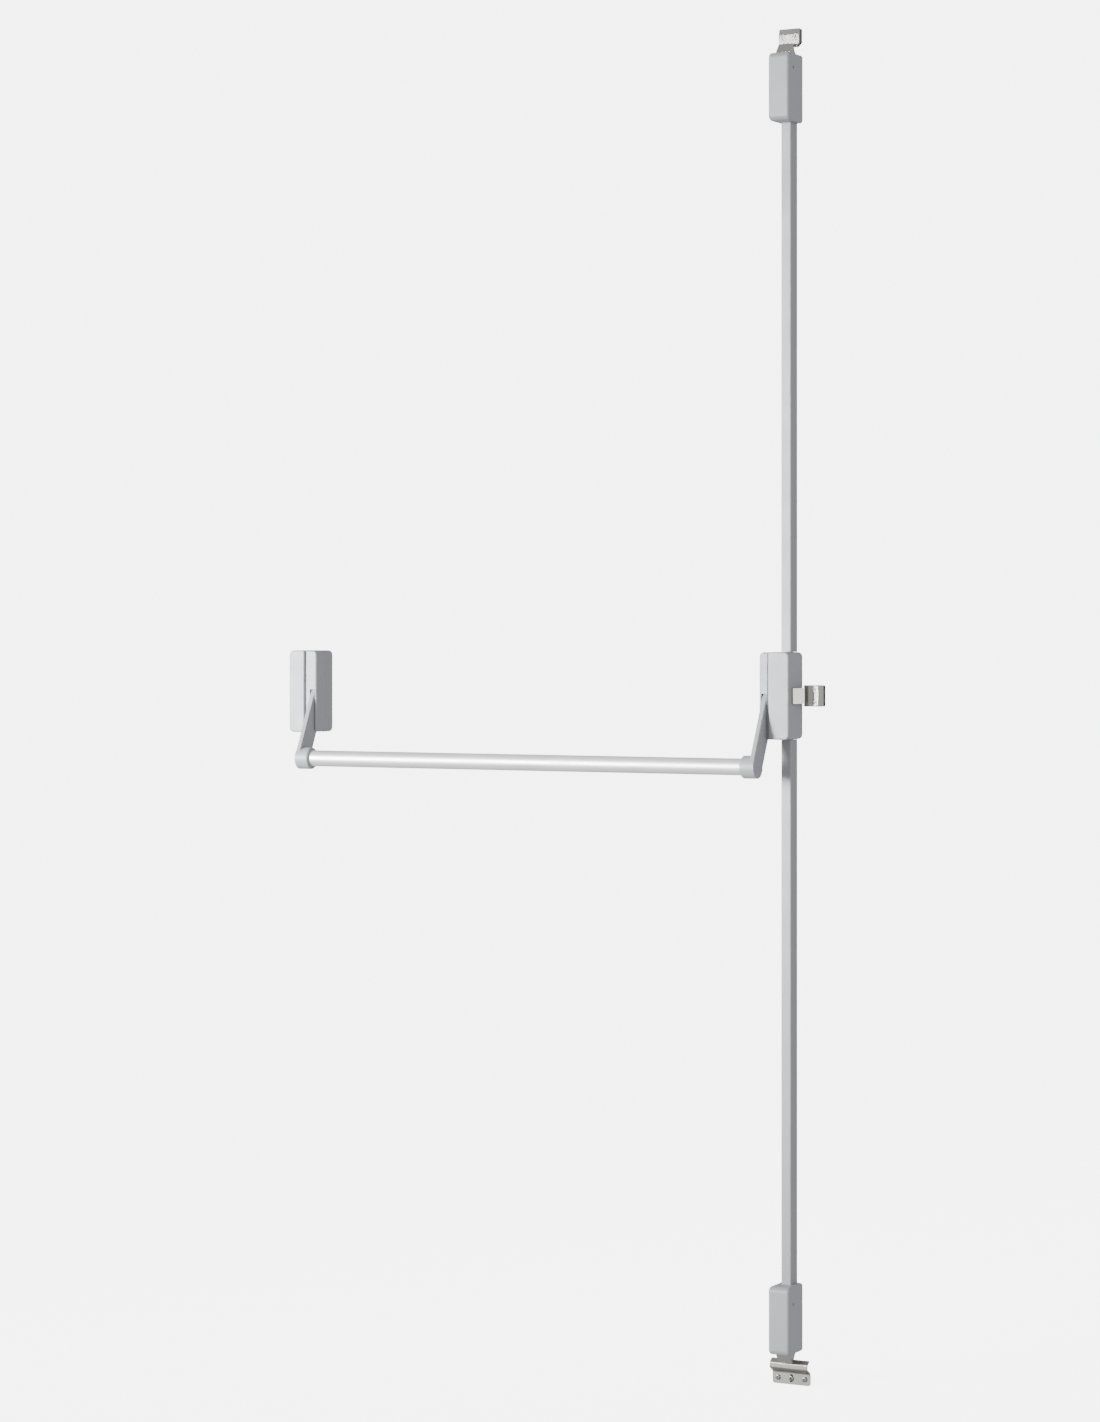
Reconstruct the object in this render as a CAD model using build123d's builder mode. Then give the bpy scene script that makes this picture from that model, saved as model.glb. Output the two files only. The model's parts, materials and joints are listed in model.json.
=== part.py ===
"""Three-point push-bar panic exit device, as an assembly of separate pieces (mm).

Frame: X runs along the push bar towards the lock stile, Y into the door, Z up.
The door face is Y = 0. The origin is the centre of the lock base plate's back face.
Pushing the bar turns both arms about one X axis. A lever on the lock-side shaft turns
a rocker, which pulls the upper rod down, the lower rod up and the side latch in.
"""

from build123d import *
from math import asin, atan2, cos, degrees, hypot, radians, sin, tan
import os

os.makedirs("parts", exist_ok=True)

# ---- housings -------------------------------------------------------------------
HOUSING_W = 54.8
HOUSING_H = 144.0
HOUSING_D = 57.0
HOUSING_CORNER = 8.0
PANEL_STEP = 3.0          # the main panel stands this much prouder than the arm panel
FRONT_EDGE = 3.4          # rounding of the arm panel's front edges
MAIN_EDGE = 2.7           # rounding of the main panel's front edges
BACK_CHAMFER = 0.7        # on the rims where two castings, or a casting and the door, meet
WALL = 2.0
HINGE_X = -910.5          # centre of the hinge-side housing
DOOR_GAP = 0.3            # covers stop this far from the door face
LOCK_SEAM = 9.8           # seam between the panels, from the housing centre, arm side
HINGE_SEAM = 3.8
SEAM_W = 3.0
SEAM_DEPTH = 1.4
TRAY_D = 23.0             # depth of the hinge-side base tray
PLATE_T = 3.0
FIT_GAP = 0.2             # fixed pieces that nest
SLIDE_GAP = 0.3           # pieces that slide past each other

# ---- push bar -------------------------------------------------------------------
PIVOT_Y = -31.0
BAR_Y = -87.0
BAR_Z = -116.5
BAR_D = 28.0
BAR_WALL = 2.0
BLADE_X = (-22.6, -14.2)  # lock-side arm blade; the hinge side mirrors it
BLADE_W = 37.0
BOSS_D = 38.0
BOSS_L = 26.0
BOSS_RIM = 3.0
SOCKET_DEPTH = 15.0
SHAFT_D = 12.0
RUN_FIT = 0.05            # radial clearance of a running fit
PUSH_DEG = 20.0

# ---- driving gear ---------------------------------------------------------------
ROD_X = 8.5
ROD_Y = -12.5
ROD_D = 8.0
ROD_STROKE = 12.0
ROCKER_ARM = 13.0
ROCKER_Y = (-13.0, -9.0)
SLIDER_Y = (-8.5, -4.5)
PIN_D = 4.0
LEVER_R = 20.0
BALL_D = 4.0
LATCH_STROKE = 15.5
ROCKER_REST = degrees(asin(ROD_STROKE / 2 / ROCKER_ARM))
BALL_LIFT = LEVER_R * sin(radians(PUSH_DEG / 2))
BALL_X = ROD_X - BALL_LIFT / tan(radians(ROCKER_REST))

# ---- latch cases, bolts, rods ---------------------------------------------------
CASE_W = 37.8
CASE_D = 55.9
CASE_H = 112.5
CASE_NOSE = 9.0           # rounding where the front turns into the ends
CASE_EDGE = 4.5           # rounding of the case's side edges
TOP_CASE_Z = 947.3
BOTTOM_CASE_Z = -972.6
BOLT_W = 25.0
BOLT_Y = (-38.5, -14.5)
BOLT_OUT = 17.5
BOLT_ROOF = 15.8
COVER_W = 18.6
COVER_D = 25.0
COVER_T = 1.2
COVER_GAP = 0.4           # between a rod cover and the housing

# ---- strikes --------------------------------------------------------------------
TOP_STRIKE = (37.0, 1073.6, 1103.7)      # width, lower edge, upper edge
BOTTOM_STRIKE = (68.0, -1141.7, -1099.0)
SIDE_STRIKE_H = 35.5


def lies_in(base_x, side, near, far):
    """X range of a slab, given from a housing's centre; side is -1 on the mirrored housing."""
    ends = (base_x + side * near, base_x + side * far)
    return min(ends), max(ends)


def block(x, y, z, mode=Mode.ADD):
    """A box between two X, two Y and two Z values."""
    with Locations(((x[0] + x[1]) / 2, (y[0] + y[1]) / 2, (z[0] + z[1]) / 2)):
        Box(abs(x[1] - x[0]), abs(y[1] - y[0]), abs(z[1] - z[0]), mode=mode)


def rod_along(plane, centre, radius, length, mode=Mode.ADD):
    """A round bar that starts on the plane at a local point and runs along its normal."""
    middle = plane.location * Location((centre[0], centre[1], length / 2))
    with Locations(middle):
        Cylinder(radius, abs(length), mode=mode)


# =================================================================================
# Housing covers, base plate, cover screws and shaft bearings
# =================================================================================

SLOT_NEAR = 13.7          # arm slot, from the housing centre towards the arm side
SLOT_FAR = 23.6
SLOT_TOP_Z = 3.5
SLOT_BACK_Y = -17.0
ROD_PORT_X = (ROD_X - 6.6, ROD_X + 6.6)
ROD_PORT_Y = -18.0
LATCH_H = 25.5
LATCH_Y = (-43.6, -14.5)
LATCH_MID_Y = -29.0
LATCH_GAP = 0.4
LOCK_SCREW_AT = (7.5, -10.0)         # bottom screw: from the centre to the arm side, and Y
HINGE_SCREW_AT = (7.5, -30.0)
COVER_SCREW_HOLE = 2.1
BELOW_WALL = Plane.XY.offset(-HOUSING_H / 2 - 1)


def housing_cover(centre_x, side, back, seam, screw_at, has_gear=False):
    """A die-cast cover: a proud main panel, a seam, and an arm panel with its open slot.

    side is -1 for the lock side, whose arm panel lies towards -X, and 1 for the hinge side.
    The cover with the gear also has ports for the rods and the side latch.
    """
    front_plane = Plane((centre_x, -back, 0), x_dir=(1, 0, 0), z_dir=(0, -1, 0))
    half = HOUSING_W / 2
    main_edge = side * seam
    outer_edge = -side * half
    main_w = abs(outer_edge - main_edge)
    main_mid = (outer_edge + main_edge) / 2
    with BuildPart() as cover:
        with BuildSketch(front_plane):
            RectangleRounded(HOUSING_W, HOUSING_H, HOUSING_CORNER)
        extrude(amount=HOUSING_D - PANEL_STEP - back)
        chamfer(cover.faces().sort_by(Axis.Y)[-1].edges(), BACK_CHAMFER)
        fillet(cover.faces().sort_by(Axis.Y)[0].edges(), FRONT_EDGE)
        with BuildSketch(front_plane.offset(2 * BACK_CHAMFER)) as main_outline:
            with Locations((main_mid, 0)):
                Rectangle(main_w, HOUSING_H)
            across = main_outline.vertices().sort_by(Axis.X)
            outer_corners = across[:2] if outer_edge < main_edge else across[2:]
            seam_corners = across[2:] if outer_edge < main_edge else across[:2]
            fillet(outer_corners, HOUSING_CORNER)
            fillet(seam_corners, MAIN_EDGE + 0.4)
        extrude(amount=HOUSING_D - back - 2 * BACK_CHAMFER)
        fillet(cover.faces().sort_by(Axis.Y)[0].edges(), MAIN_EDGE)
        seam_x = lies_in(centre_x, side, seam, seam + SEAM_W)
        front = -(HOUSING_D - PANEL_STEP)
        block(seam_x, (front - 1, front + SEAM_DEPTH), (-HOUSING_H, HOUSING_H), Mode.SUBTRACT)
        with BuildSketch(front_plane):
            RectangleRounded(HOUSING_W - 2 * WALL, HOUSING_H - 2 * WALL, HOUSING_CORNER - WALL)
        extrude(amount=HOUSING_D - PANEL_STEP - back - WALL - SEAM_DEPTH, mode=Mode.SUBTRACT)
        main_inside = (main_edge - side * WALL * 2, outer_edge + side * WALL * 2)
        block(
            (centre_x + main_inside[0], centre_x + main_inside[1]),
            (-HOUSING_D + WALL, -HOUSING_D / 2),
            (-HOUSING_H / 2 + 2 * WALL, HOUSING_H / 2 - 2 * WALL),
            Mode.SUBTRACT,
        )
        arm_slot(centre_x, side)
        screw_spot = (centre_x + side * screw_at[0], screw_at[1])
        rod_along(BELOW_WALL, screw_spot, COVER_SCREW_HOLE, 4 * WALL, Mode.SUBTRACT)
        if has_gear:
            block(ROD_PORT_X, (ROD_PORT_Y, 0), (-HOUSING_H, HOUSING_H), Mode.SUBTRACT)
            latch_port = (LATCH_Y[0] - LATCH_GAP, LATCH_Y[1] + LATCH_GAP)
            block((HOUSING_W / 2 - 2 * WALL, HOUSING_W / 2 + 1), latch_port,
                  (-LATCH_H / 2 - LATCH_GAP, LATCH_H / 2 + LATCH_GAP), Mode.SUBTRACT)
    return cover


def arm_slot(centre_x, side):
    """Clears the swinging arm: open in the arm panel and through the bottom wall."""
    slot_x = lies_in(centre_x, side, SLOT_NEAR, SLOT_FAR)
    block(slot_x, (-HOUSING_D - 1, SLOT_BACK_Y), (-HOUSING_H / 2 - 1, SLOT_TOP_Z), Mode.SUBTRACT)


lock_cover = housing_cover(0, -1, DOOR_GAP, LOCK_SEAM, LOCK_SCREW_AT, has_gear=True)
lock_cover.part.label = "lock_cover"
export_step(lock_cover.part, "parts/lock_cover.step")

PLATE_W = HOUSING_W - 2 * WALL - 2 * FIT_GAP
PLATE_H = HOUSING_H - 2 * WALL - 2 * FIT_GAP
PLATE_CORNER = HOUSING_CORNER - WALL
BASE_HOLE_R = 2.75
BASE_HOLES = (38.0, 118.0)
TAB_T = 3.0
TAB_HALF = 4.0
SCREW_CORE = 2.0
TAB_Z = -HOUSING_H / 2 + WALL + FIT_GAP


def screw_tab(x_mid, screw_y):
    """A lug just inside the bottom wall that takes the cover screw."""
    block((x_mid - TAB_HALF, x_mid + TAB_HALF), (screw_y - TAB_HALF, -PLATE_T), (TAB_Z, TAB_Z + TAB_T))
    rod_along(BELOW_WALL, (x_mid, screw_y), SCREW_CORE, WALL + TAB_T + 2, Mode.SUBTRACT)


with BuildPart() as lock_base_plate:
    with BuildSketch(Plane.XZ):
        RectangleRounded(PLATE_W, PLATE_H, PLATE_CORNER)
        with GridLocations(BASE_HOLES[0], BASE_HOLES[1], 2, 2):
            Circle(BASE_HOLE_R, mode=Mode.SUBTRACT)
    extrude(amount=PLATE_T)
    screw_tab(-LOCK_SCREW_AT[0], LOCK_SCREW_AT[1])
lock_base_plate.part.label = "lock_base_plate"
export_step(lock_base_plate.part, "parts/lock_base_plate.step")


RECESS_W = 0.8            # cross recess: width, and its span and depth as shares of the head
RECESS_SPAN = 1.1
RECESS_DEPTH = 0.55
DOME_SHARE = 0.55         # rounding of a pan head, as a share of its height


def cross_recess(plane, spot, head_r, depth):
    """Cuts a cross recess into a screw's head."""
    span = head_r * RECESS_SPAN
    with Locations(plane.location * Location((spot[0], spot[1], 0))):
        Box(span, RECESS_W, 2 * depth, mode=Mode.SUBTRACT)
        Box(RECESS_W, span, 2 * depth, mode=Mode.SUBTRACT)


def pan_screw(plane, spots, shank_r, shank_l, head_r, head_h):
    """Pan-head screws: the head stands on the plane, the shank runs against its normal."""
    with BuildPart() as screw:
        for spot in spots:
            rod_along(plane, spot, head_r, head_h)
        fillet(screw.edges().filter_by(GeomType.CIRCLE).group_by(
            lambda edge: round(plane.to_local_coords(edge.center()).Z, 3))[-1], head_h * DOME_SHARE)
        for spot in spots:
            rod_along(plane, spot, shank_r, -shank_l)
            cross_recess(plane.offset(head_h), spot, head_r, head_h * RECESS_DEPTH)
    return screw


def flat_screw(plane, spots, shank_r, shank_l, head_r, head_h):
    """Countersunk screws: flat head flush with the plane, cone and shank below it."""
    with BuildPart() as screw:
        for spot in spots:
            with BuildSketch(plane):
                with Locations(spot):
                    Circle(head_r)
            with BuildSketch(plane.offset(-head_h)):
                with Locations(spot):
                    Circle(shank_r)
            loft()
            rod_along(plane.offset(-head_h), spot, shank_r, head_h - shank_l)
            cross_recess(plane, spot, head_r, head_h * RECESS_DEPTH)
    return screw


def sunk_holes(plane, spots, shank_r, depth, head_r, head_h):
    """Countersunk holes that the flat screws sit in."""
    for spot in spots:
        with Locations(plane.location * Location((spot[0], spot[1], -head_h / 2))):
            Cone(shank_r, head_r, head_h, mode=Mode.SUBTRACT)
        rod_along(plane, spot, shank_r, -depth, Mode.SUBTRACT)


COVER_SCREW_HEAD = (3.6, 1.8)
BELOW = Plane((0, 0, -HOUSING_H / 2), x_dir=(1, 0, 0), z_dir=(0, 0, -1))
for housing, centre_x, side, screw_at in (
    ("lock", 0, -1, LOCK_SCREW_AT), ("hinge", HINGE_X, 1, HINGE_SCREW_AT),
):
    cover_screw = pan_screw(BELOW, [(centre_x + side * screw_at[0], -screw_at[1])], SCREW_CORE,
                            WALL + TAB_T + 1, *COVER_SCREW_HEAD)
    cover_screw.part.label = f"{housing}_cover_screw"
    export_step(cover_screw.part, f"parts/{housing}_cover_screw.step")

# Bearing bracket: two cheeks either side of the arm blade, joined by a web.
CHEEK_OUTER = (-25.2, -23.2)
CHEEK_INNER = (-13.5, -10.9)
CHEEK_R = 12.0
BUSH_WALL = 2.0
BUSH_R = SHAFT_D / 2 + RUN_FIT + BUSH_WALL


def bearing_bracket(centre_x, side, back_y):
    """A U bracket; back_y is the face that it stands on. side mirrors it."""
    with BuildPart() as bracket:
        for cheek in (CHEEK_OUTER, CHEEK_INNER):
            span = lies_in(centre_x, side, cheek[0], cheek[1])
            with BuildSketch(Plane.YZ.offset(span[0])):
                with Locations((PIVOT_Y, 0)):
                    Circle(CHEEK_R)
                with Locations(((PIVOT_Y + back_y) / 2, 0)):
                    Rectangle(back_y - PIVOT_Y, 2 * CHEEK_R)
                with Locations((PIVOT_Y, 0)):
                    Circle(BUSH_R, mode=Mode.SUBTRACT)
            extrude(amount=span[1] - span[0])
        web_x = lies_in(centre_x, side, CHEEK_OUTER[0], CHEEK_INNER[1])
        block(web_x, (back_y - WALL, back_y), (-CHEEK_R, CHEEK_R))
    return bracket


def bearing_bushes(centre_x, side):
    """Plain bushes pressed into the two cheeks."""
    with BuildPart() as bushes:
        for cheek in (CHEEK_OUTER, CHEEK_INNER):
            span = lies_in(centre_x, side, cheek[0], cheek[1])
            with BuildSketch(Plane.YZ.offset(span[0])):
                with Locations((PIVOT_Y, 0)):
                    Circle(BUSH_R)
                    Circle(SHAFT_D / 2 + RUN_FIT, mode=Mode.SUBTRACT)
            extrude(amount=span[1] - span[0])
    return bushes


for housing, centre_x, side in (("lock", 0, 1), ("hinge", HINGE_X, -1)):
    bracket = bearing_bracket(centre_x, side, -PLATE_T)
    bracket.part.label = f"{housing}_bearing_bracket"
    export_step(bracket.part, f"parts/{housing}_bearing_bracket.step")
    bushes = bearing_bushes(centre_x, side)
    bushes.part.label = f"{housing}_shaft_bushes"
    export_step(bushes.part, f"parts/{housing}_shaft_bushes.step")

# =================================================================================
# Hinge-side housing
# =================================================================================

hinge_cover = housing_cover(HINGE_X, 1, TRAY_D + FIT_GAP, HINGE_SEAM, HINGE_SCREW_AT)
hinge_cover.part.label = "hinge_cover"
export_step(hinge_cover.part, "parts/hinge_cover.step")

HINGE_FACE = Plane((HINGE_X, 0, 0), x_dir=(1, 0, 0), z_dir=(0, -1, 0))
with BuildPart() as hinge_base_tray:
    with BuildSketch(HINGE_FACE):
        RectangleRounded(HOUSING_W, HOUSING_H, HOUSING_CORNER)
    extrude(amount=TRAY_D)
    chamfer(hinge_base_tray.faces().sort_by(Axis.Y)[0].edges(), BACK_CHAMFER)
    with BuildSketch(HINGE_FACE.offset(PLATE_T)):
        RectangleRounded(HOUSING_W - 2 * WALL, HOUSING_H - 2 * WALL, HOUSING_CORNER - WALL)
    extrude(amount=TRAY_D, mode=Mode.SUBTRACT)
    arm_slot(HINGE_X, 1)
    with BuildSketch(HINGE_FACE):
        with GridLocations(BASE_HOLES[0], BASE_HOLES[1], 2, 2):
            Circle(BASE_HOLE_R)
    extrude(amount=PLATE_T, mode=Mode.SUBTRACT)
    screw_tab(HINGE_X + HINGE_SCREW_AT[0], HINGE_SCREW_AT[1])
hinge_base_tray.part.label = "hinge_base_tray"
export_step(hinge_base_tray.part, "parts/hinge_base_tray.step")

# Torsion spring that swings the bar back out, wound on the hinge-side shaft.
SPRING_X = HINGE_X + 8.0
SPRING_TURNS = 5
SPRING_PITCH = 2.8
SPRING_R = 8.6
SPRING_WIRE = 1.0
SPRING_LEG = 16.0
with BuildPart() as return_spring:
    with BuildLine() as coil:
        Helix(SPRING_PITCH, SPRING_PITCH * SPRING_TURNS, SPRING_R, center=(SPRING_X, PIVOT_Y, 0),
              direction=(-1, 0, 0))
    with BuildSketch(Plane(coil.line @ 0, z_dir=coil.line % 0)):
        Circle(SPRING_WIRE)
    sweep(is_frenet=True)
    for end in (coil.line @ 0, coil.line @ 1):
        leg_plane = Plane((end.X, end.Y, end.Z), x_dir=(1, 0, 0), z_dir=(0, 1, 0))
        rod_along(leg_plane, (0, 0), SPRING_WIRE, SPRING_LEG)
return_spring.part.label = "return_spring"
export_step(return_spring.part, "parts/return_spring.step")

# =================================================================================
# Push bar: arms, shafts, tube and drive lever
# =================================================================================

ARM_RUN = (BAR_Y - PIVOT_Y, BAR_Z)
ARM_L = hypot(ARM_RUN[0], ARM_RUN[1])
ARM_ANGLE = degrees(atan2(ARM_RUN[1], ARM_RUN[0]))
BLADE_EDGE = 1.6
SHAFT_PIN_R = 1.5
PIN_HOLE_L = 28.0         # long enough to clear the widest piece that the pin goes through
SHAFT_PIN_L = 18.0
GRUB_R = 2.5
GRUB_L = 4.6
GRUB_INSET = 7.0          # grub screw, from the boss's open end
KEY_R = 1.4               # hexagon socket of the grub screw
KEY_DEPTH = 2.5
SOCKET_FIT = 0.1
SOCKET_R = BAR_D / 2 + SOCKET_FIT


def push_arm(centre_x, side):
    """A flat arm with a round boss that holds the tube's end."""
    blade = lies_in(centre_x, side, BLADE_X[0], BLADE_X[1])
    boss = lies_in(centre_x, side, BLADE_X[1], BLADE_X[1] - BOSS_L)
    socket_end = BLADE_X[1] - BOSS_L
    socket = lies_in(centre_x, side, socket_end, socket_end + SOCKET_DEPTH)
    grub_x = centre_x + side * (socket_end + GRUB_INSET)
    with BuildPart() as arm:
        with BuildSketch(Plane.YZ.offset(blade[0])):
            with Locations(((PIVOT_Y + BAR_Y) / 2, BAR_Z / 2)):
                SlotCenterToCenter(ARM_L, BLADE_W, rotation=ARM_ANGLE)
        extrude(amount=blade[1] - blade[0])
        fillet(arm.faces().filter_by(Axis.X).edges(), BLADE_EDGE)
        rod_along(Plane.YZ.offset(boss[0]), (BAR_Y, BAR_Z), BOSS_D / 2, boss[1] - boss[0])
        boss_rims = arm.edges().filter_by(GeomType.CIRCLE).filter_by(
            lambda edge: abs(edge.radius - BOSS_D / 2) < 0.01).sort_by(Axis.X)
        open_rim = boss_rims[0] if side > 0 else boss_rims[-1]
        fillet(open_rim, BOSS_RIM)
        rod_along(Plane.YZ.offset(socket[0]), (BAR_Y, BAR_Z), SOCKET_R, socket[1] - socket[0],
                  Mode.SUBTRACT)
        rod_along(Plane.YZ.offset(blade[0] - 1), (PIVOT_Y, 0), SHAFT_D / 2,
                  blade[1] - blade[0] + 2, Mode.SUBTRACT)
        shaft_pin_hole((blade[0] + blade[1]) / 2)
        rod_along(Plane.XY.offset(BAR_Z - BOSS_D / 2 - 1), (grub_x, BAR_Y), GRUB_R, BOSS_D / 2,
                  Mode.SUBTRACT)
    return arm


def shaft_pin_hole(pin_x):
    """A cross hole for a roll pin through a shaft and the piece that it drives."""
    rod_along(Plane.XY.offset(-PIN_HOLE_L / 2), (pin_x, PIVOT_Y), SHAFT_PIN_R, PIN_HOLE_L,
              Mode.SUBTRACT)


LEVER_X = (-3.0, 3.3)
LEVER_HUB_R = 10.0
LEVER_PIN_X = -0.8
NECK_T = 2.4
NECK_H = 2.6
ARM_PIN_X = (BLADE_X[0] + BLADE_X[1]) / 2
LOCK_SHAFT_X = (CHEEK_OUTER[0], LEVER_X[1])
HINGE_SHAFT_X = (HINGE_X - 15.0, HINGE_X - CHEEK_OUTER[0])

for housing, centre_x, side in (("lock", 0, 1), ("hinge", HINGE_X, -1)):
    arm = push_arm(centre_x, side)
    arm.part.label = f"{housing}_arm"
    export_step(arm.part, f"parts/{housing}_arm.step")

with BuildPart() as bar_grub_screws:
    for centre_x, side in ((0, 1), (HINGE_X, -1)):
        grub_x = centre_x + side * (BLADE_X[1] - BOSS_L + GRUB_INSET)
        foot = Plane((grub_x, BAR_Y, BAR_Z - SOCKET_R), x_dir=(1, 0, 0), z_dir=(0, 0, -1))
        rod_along(foot, (0, 0), GRUB_R, GRUB_L)
        with BuildSketch(foot.offset(GRUB_L)):
            RegularPolygon(KEY_R, 6)
        extrude(amount=-KEY_DEPTH, mode=Mode.SUBTRACT)
bar_grub_screws.part.label = "bar_grub_screws"
export_step(bar_grub_screws.part, "parts/bar_grub_screws.step")

TUBE_X = (HINGE_X - BLADE_X[1] + BOSS_L - SOCKET_DEPTH, BLADE_X[1] - BOSS_L + SOCKET_DEPTH)
with BuildPart() as crossbar:
    with BuildSketch(Plane.YZ.offset(TUBE_X[0])):
        with Locations((BAR_Y, BAR_Z)):
            Circle(BAR_D / 2)
            Circle(BAR_D / 2 - BAR_WALL, mode=Mode.SUBTRACT)
    extrude(amount=TUBE_X[1] - TUBE_X[0])
crossbar.part.label = "crossbar"
export_step(crossbar.part, "parts/crossbar.step")

with BuildPart() as lock_shaft:
    rod_along(Plane.YZ.offset(LOCK_SHAFT_X[0]), (PIVOT_Y, 0), SHAFT_D / 2,
              LOCK_SHAFT_X[1] - LOCK_SHAFT_X[0])
    for pin_x in (ARM_PIN_X, LEVER_PIN_X):
        shaft_pin_hole(pin_x)
lock_shaft.part.label = "lock_shaft"
export_step(lock_shaft.part, "parts/lock_shaft.step")

with BuildPart() as hinge_shaft:
    rod_along(Plane.YZ.offset(HINGE_SHAFT_X[0]), (PIVOT_Y, 0), SHAFT_D / 2,
              HINGE_SHAFT_X[1] - HINGE_SHAFT_X[0])
    shaft_pin_hole(HINGE_X - ARM_PIN_X)
hinge_shaft.part.label = "hinge_shaft"
export_step(hinge_shaft.part, "parts/hinge_shaft.step")

for housing, pin_places in (("lock", (ARM_PIN_X, LEVER_PIN_X)), ("hinge", (HINGE_X - ARM_PIN_X,))):
    with BuildPart() as shaft_pins:
        for pin_x in pin_places:
            rod_along(Plane.XY.offset(-SHAFT_PIN_L / 2), (pin_x, PIVOT_Y), SHAFT_PIN_R, SHAFT_PIN_L)
    shaft_pins.part.label = f"{housing}_shaft_pins"
    export_step(shaft_pins.part, f"parts/{housing}_shaft_pins.step")

# The lever points 10 degrees down at rest and 10 degrees up when the bar is home.
REST_TILT = -PUSH_DEG / 2
ball_y = PIVOT_Y + LEVER_R * cos(radians(REST_TILT))
ball_z = LEVER_R * sin(radians(REST_TILT))
with BuildPart() as drive_lever:
    rod_along(Plane.YZ.offset(LEVER_X[0]), (PIVOT_Y, 0), LEVER_HUB_R, LEVER_X[1] - LEVER_X[0])
    with BuildSketch(Plane.YZ.offset(BALL_X - NECK_T / 2)):
        with Locations(((PIVOT_Y + ball_y) / 2, ball_z / 2)):
            Rectangle(LEVER_R, NECK_H, rotation=REST_TILT)
    extrude(amount=NECK_T)
    with Locations((BALL_X, ball_y, ball_z)):
        Sphere(BALL_D / 2)
    rod_along(Plane.YZ.offset(LEVER_X[0]), (PIVOT_Y, 0), SHAFT_D / 2, LEVER_X[1] - LEVER_X[0],
              Mode.SUBTRACT)
    shaft_pin_hole(LEVER_PIN_X)
drive_lever.part.label = "drive_lever"
export_step(drive_lever.part, "parts/drive_lever.step")

# =================================================================================
# Rocker, sliders and couplers
# =================================================================================

STUD_R = 3.5
STUD_NECK_R = 2.5
CLIP_T = 0.8
CLIP_PLAY = 0.15
STUD_PLAY = 0.1
STUD_END = ROCKER_Y[0] - CLIP_T - CLIP_PLAY
with BuildPart() as rocker_stud:
    rod_along(Plane.XZ.offset(PLATE_T), (ROD_X, 0), STUD_R, -ROCKER_Y[1] - PLATE_T - STUD_PLAY)
    rod_along(Plane.XZ.offset(PLATE_T), (ROD_X, 0), STUD_NECK_R, -STUD_END - PLATE_T)
rocker_stud.part.label = "rocker_stud"
export_step(rocker_stud.part, "parts/rocker_stud.step")

with BuildPart() as rocker_clip:
    with BuildSketch(Plane.XZ.offset(-STUD_END - CLIP_T)):
        with Locations((ROD_X, 0)):
            Circle(STUD_NECK_R + 2)
            Circle(STUD_NECK_R, mode=Mode.SUBTRACT)
    extrude(amount=CLIP_T)
rocker_clip.part.label = "rocker_clip"
export_step(rocker_clip.part, "parts/rocker_clip.step")

ROCKER_END_R = 3.4
ROCKER_HUB_R = 6.5
BALL_PLAY = 0.25
BALL_NEAR = ROD_X - BALL_X
BALL_FAR = BALL_NEAR / cos(radians(ROCKER_REST))
BALL_SLOT_MID = -(BALL_NEAR + BALL_FAR) / 2
ROCKER_PLANE = Plane((ROD_X, ROCKER_Y[1], 0),
                     x_dir=(cos(radians(ROCKER_REST)), 0, sin(radians(ROCKER_REST))),
                     z_dir=(0, -1, 0))
with BuildPart() as rocker:
    with BuildSketch(ROCKER_PLANE):
        SlotCenterToCenter(2 * ROCKER_ARM, 2 * ROCKER_END_R)
        Circle(ROCKER_HUB_R)
        Circle(STUD_NECK_R + RUN_FIT, mode=Mode.SUBTRACT)
        with Locations((-ROCKER_ARM, 0), (ROCKER_ARM, 0)):
            Circle(PIN_D / 2, mode=Mode.SUBTRACT)
        with Locations((BALL_SLOT_MID, 0)):
            Rectangle(BALL_FAR - BALL_NEAR + BALL_D + 2 * BALL_PLAY, BALL_D + 2 * BALL_PLAY,
                      mode=Mode.SUBTRACT)
    extrude(amount=ROCKER_Y[1] - ROCKER_Y[0])
rocker.part.label = "rocker"
export_step(rocker.part, "parts/rocker.step")

PIN_TAIL_Y = SLIDER_Y[1] - FIT_GAP
with BuildPart() as rocker_pins:
    with BuildSketch(ROCKER_PLANE.offset(ROCKER_Y[1] - PIN_TAIL_Y)):
        with Locations((-ROCKER_ARM, 0), (ROCKER_ARM, 0)):
            Circle(PIN_D / 2)
    extrude(amount=PIN_TAIL_Y - ROCKER_Y[0])
rocker_pins.part.label = "rocker_pins"
export_step(rocker_pins.part, "parts/rocker_pins.step")

SLIDER_T = SLIDER_Y[1] - SLIDER_Y[0]
PIN_PLAY = 0.2
PIN_Z = ROD_STROKE / 2
PIN_INNER_X = ROCKER_ARM * cos(radians(ROCKER_REST))
NOTCH_IN = PIN_INNER_X - PIN_D / 2 - 2 * PIN_PLAY
FORK_X = (6.5, 16.3)      # fork arm, from the rod's axis
FORK_TIP_Z = 1.5
FORK_ROOT_Z = 16.0
CAM_WING_X = -7.0         # the upper slider's wing round the latch's cam slot
CAM_WING_Z = (30.0, 38.0)
UPPER_NECK_Z = 44.0       # where each slider narrows to its neck
LOWER_NECK_Z = -34.0
NECK_HALF = 4.0
NECK_END = 84.0
LATCH_PIN = (13.0, 20.0)
SLOT_PLAY = 0.2
SLIDER_FACE = Plane.XZ.offset(-SLIDER_Y[1])


def pin_notch(sign):
    """An open fork notch for one rocker pin."""
    with Locations((ROD_X + sign * (NOTCH_IN + FORK_X[1] + 1) / 2, sign * PIN_Z)):
        Rectangle(FORK_X[1] + 1 - NOTCH_IN, PIN_D + 2 * PIN_PLAY, mode=Mode.SUBTRACT)


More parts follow.
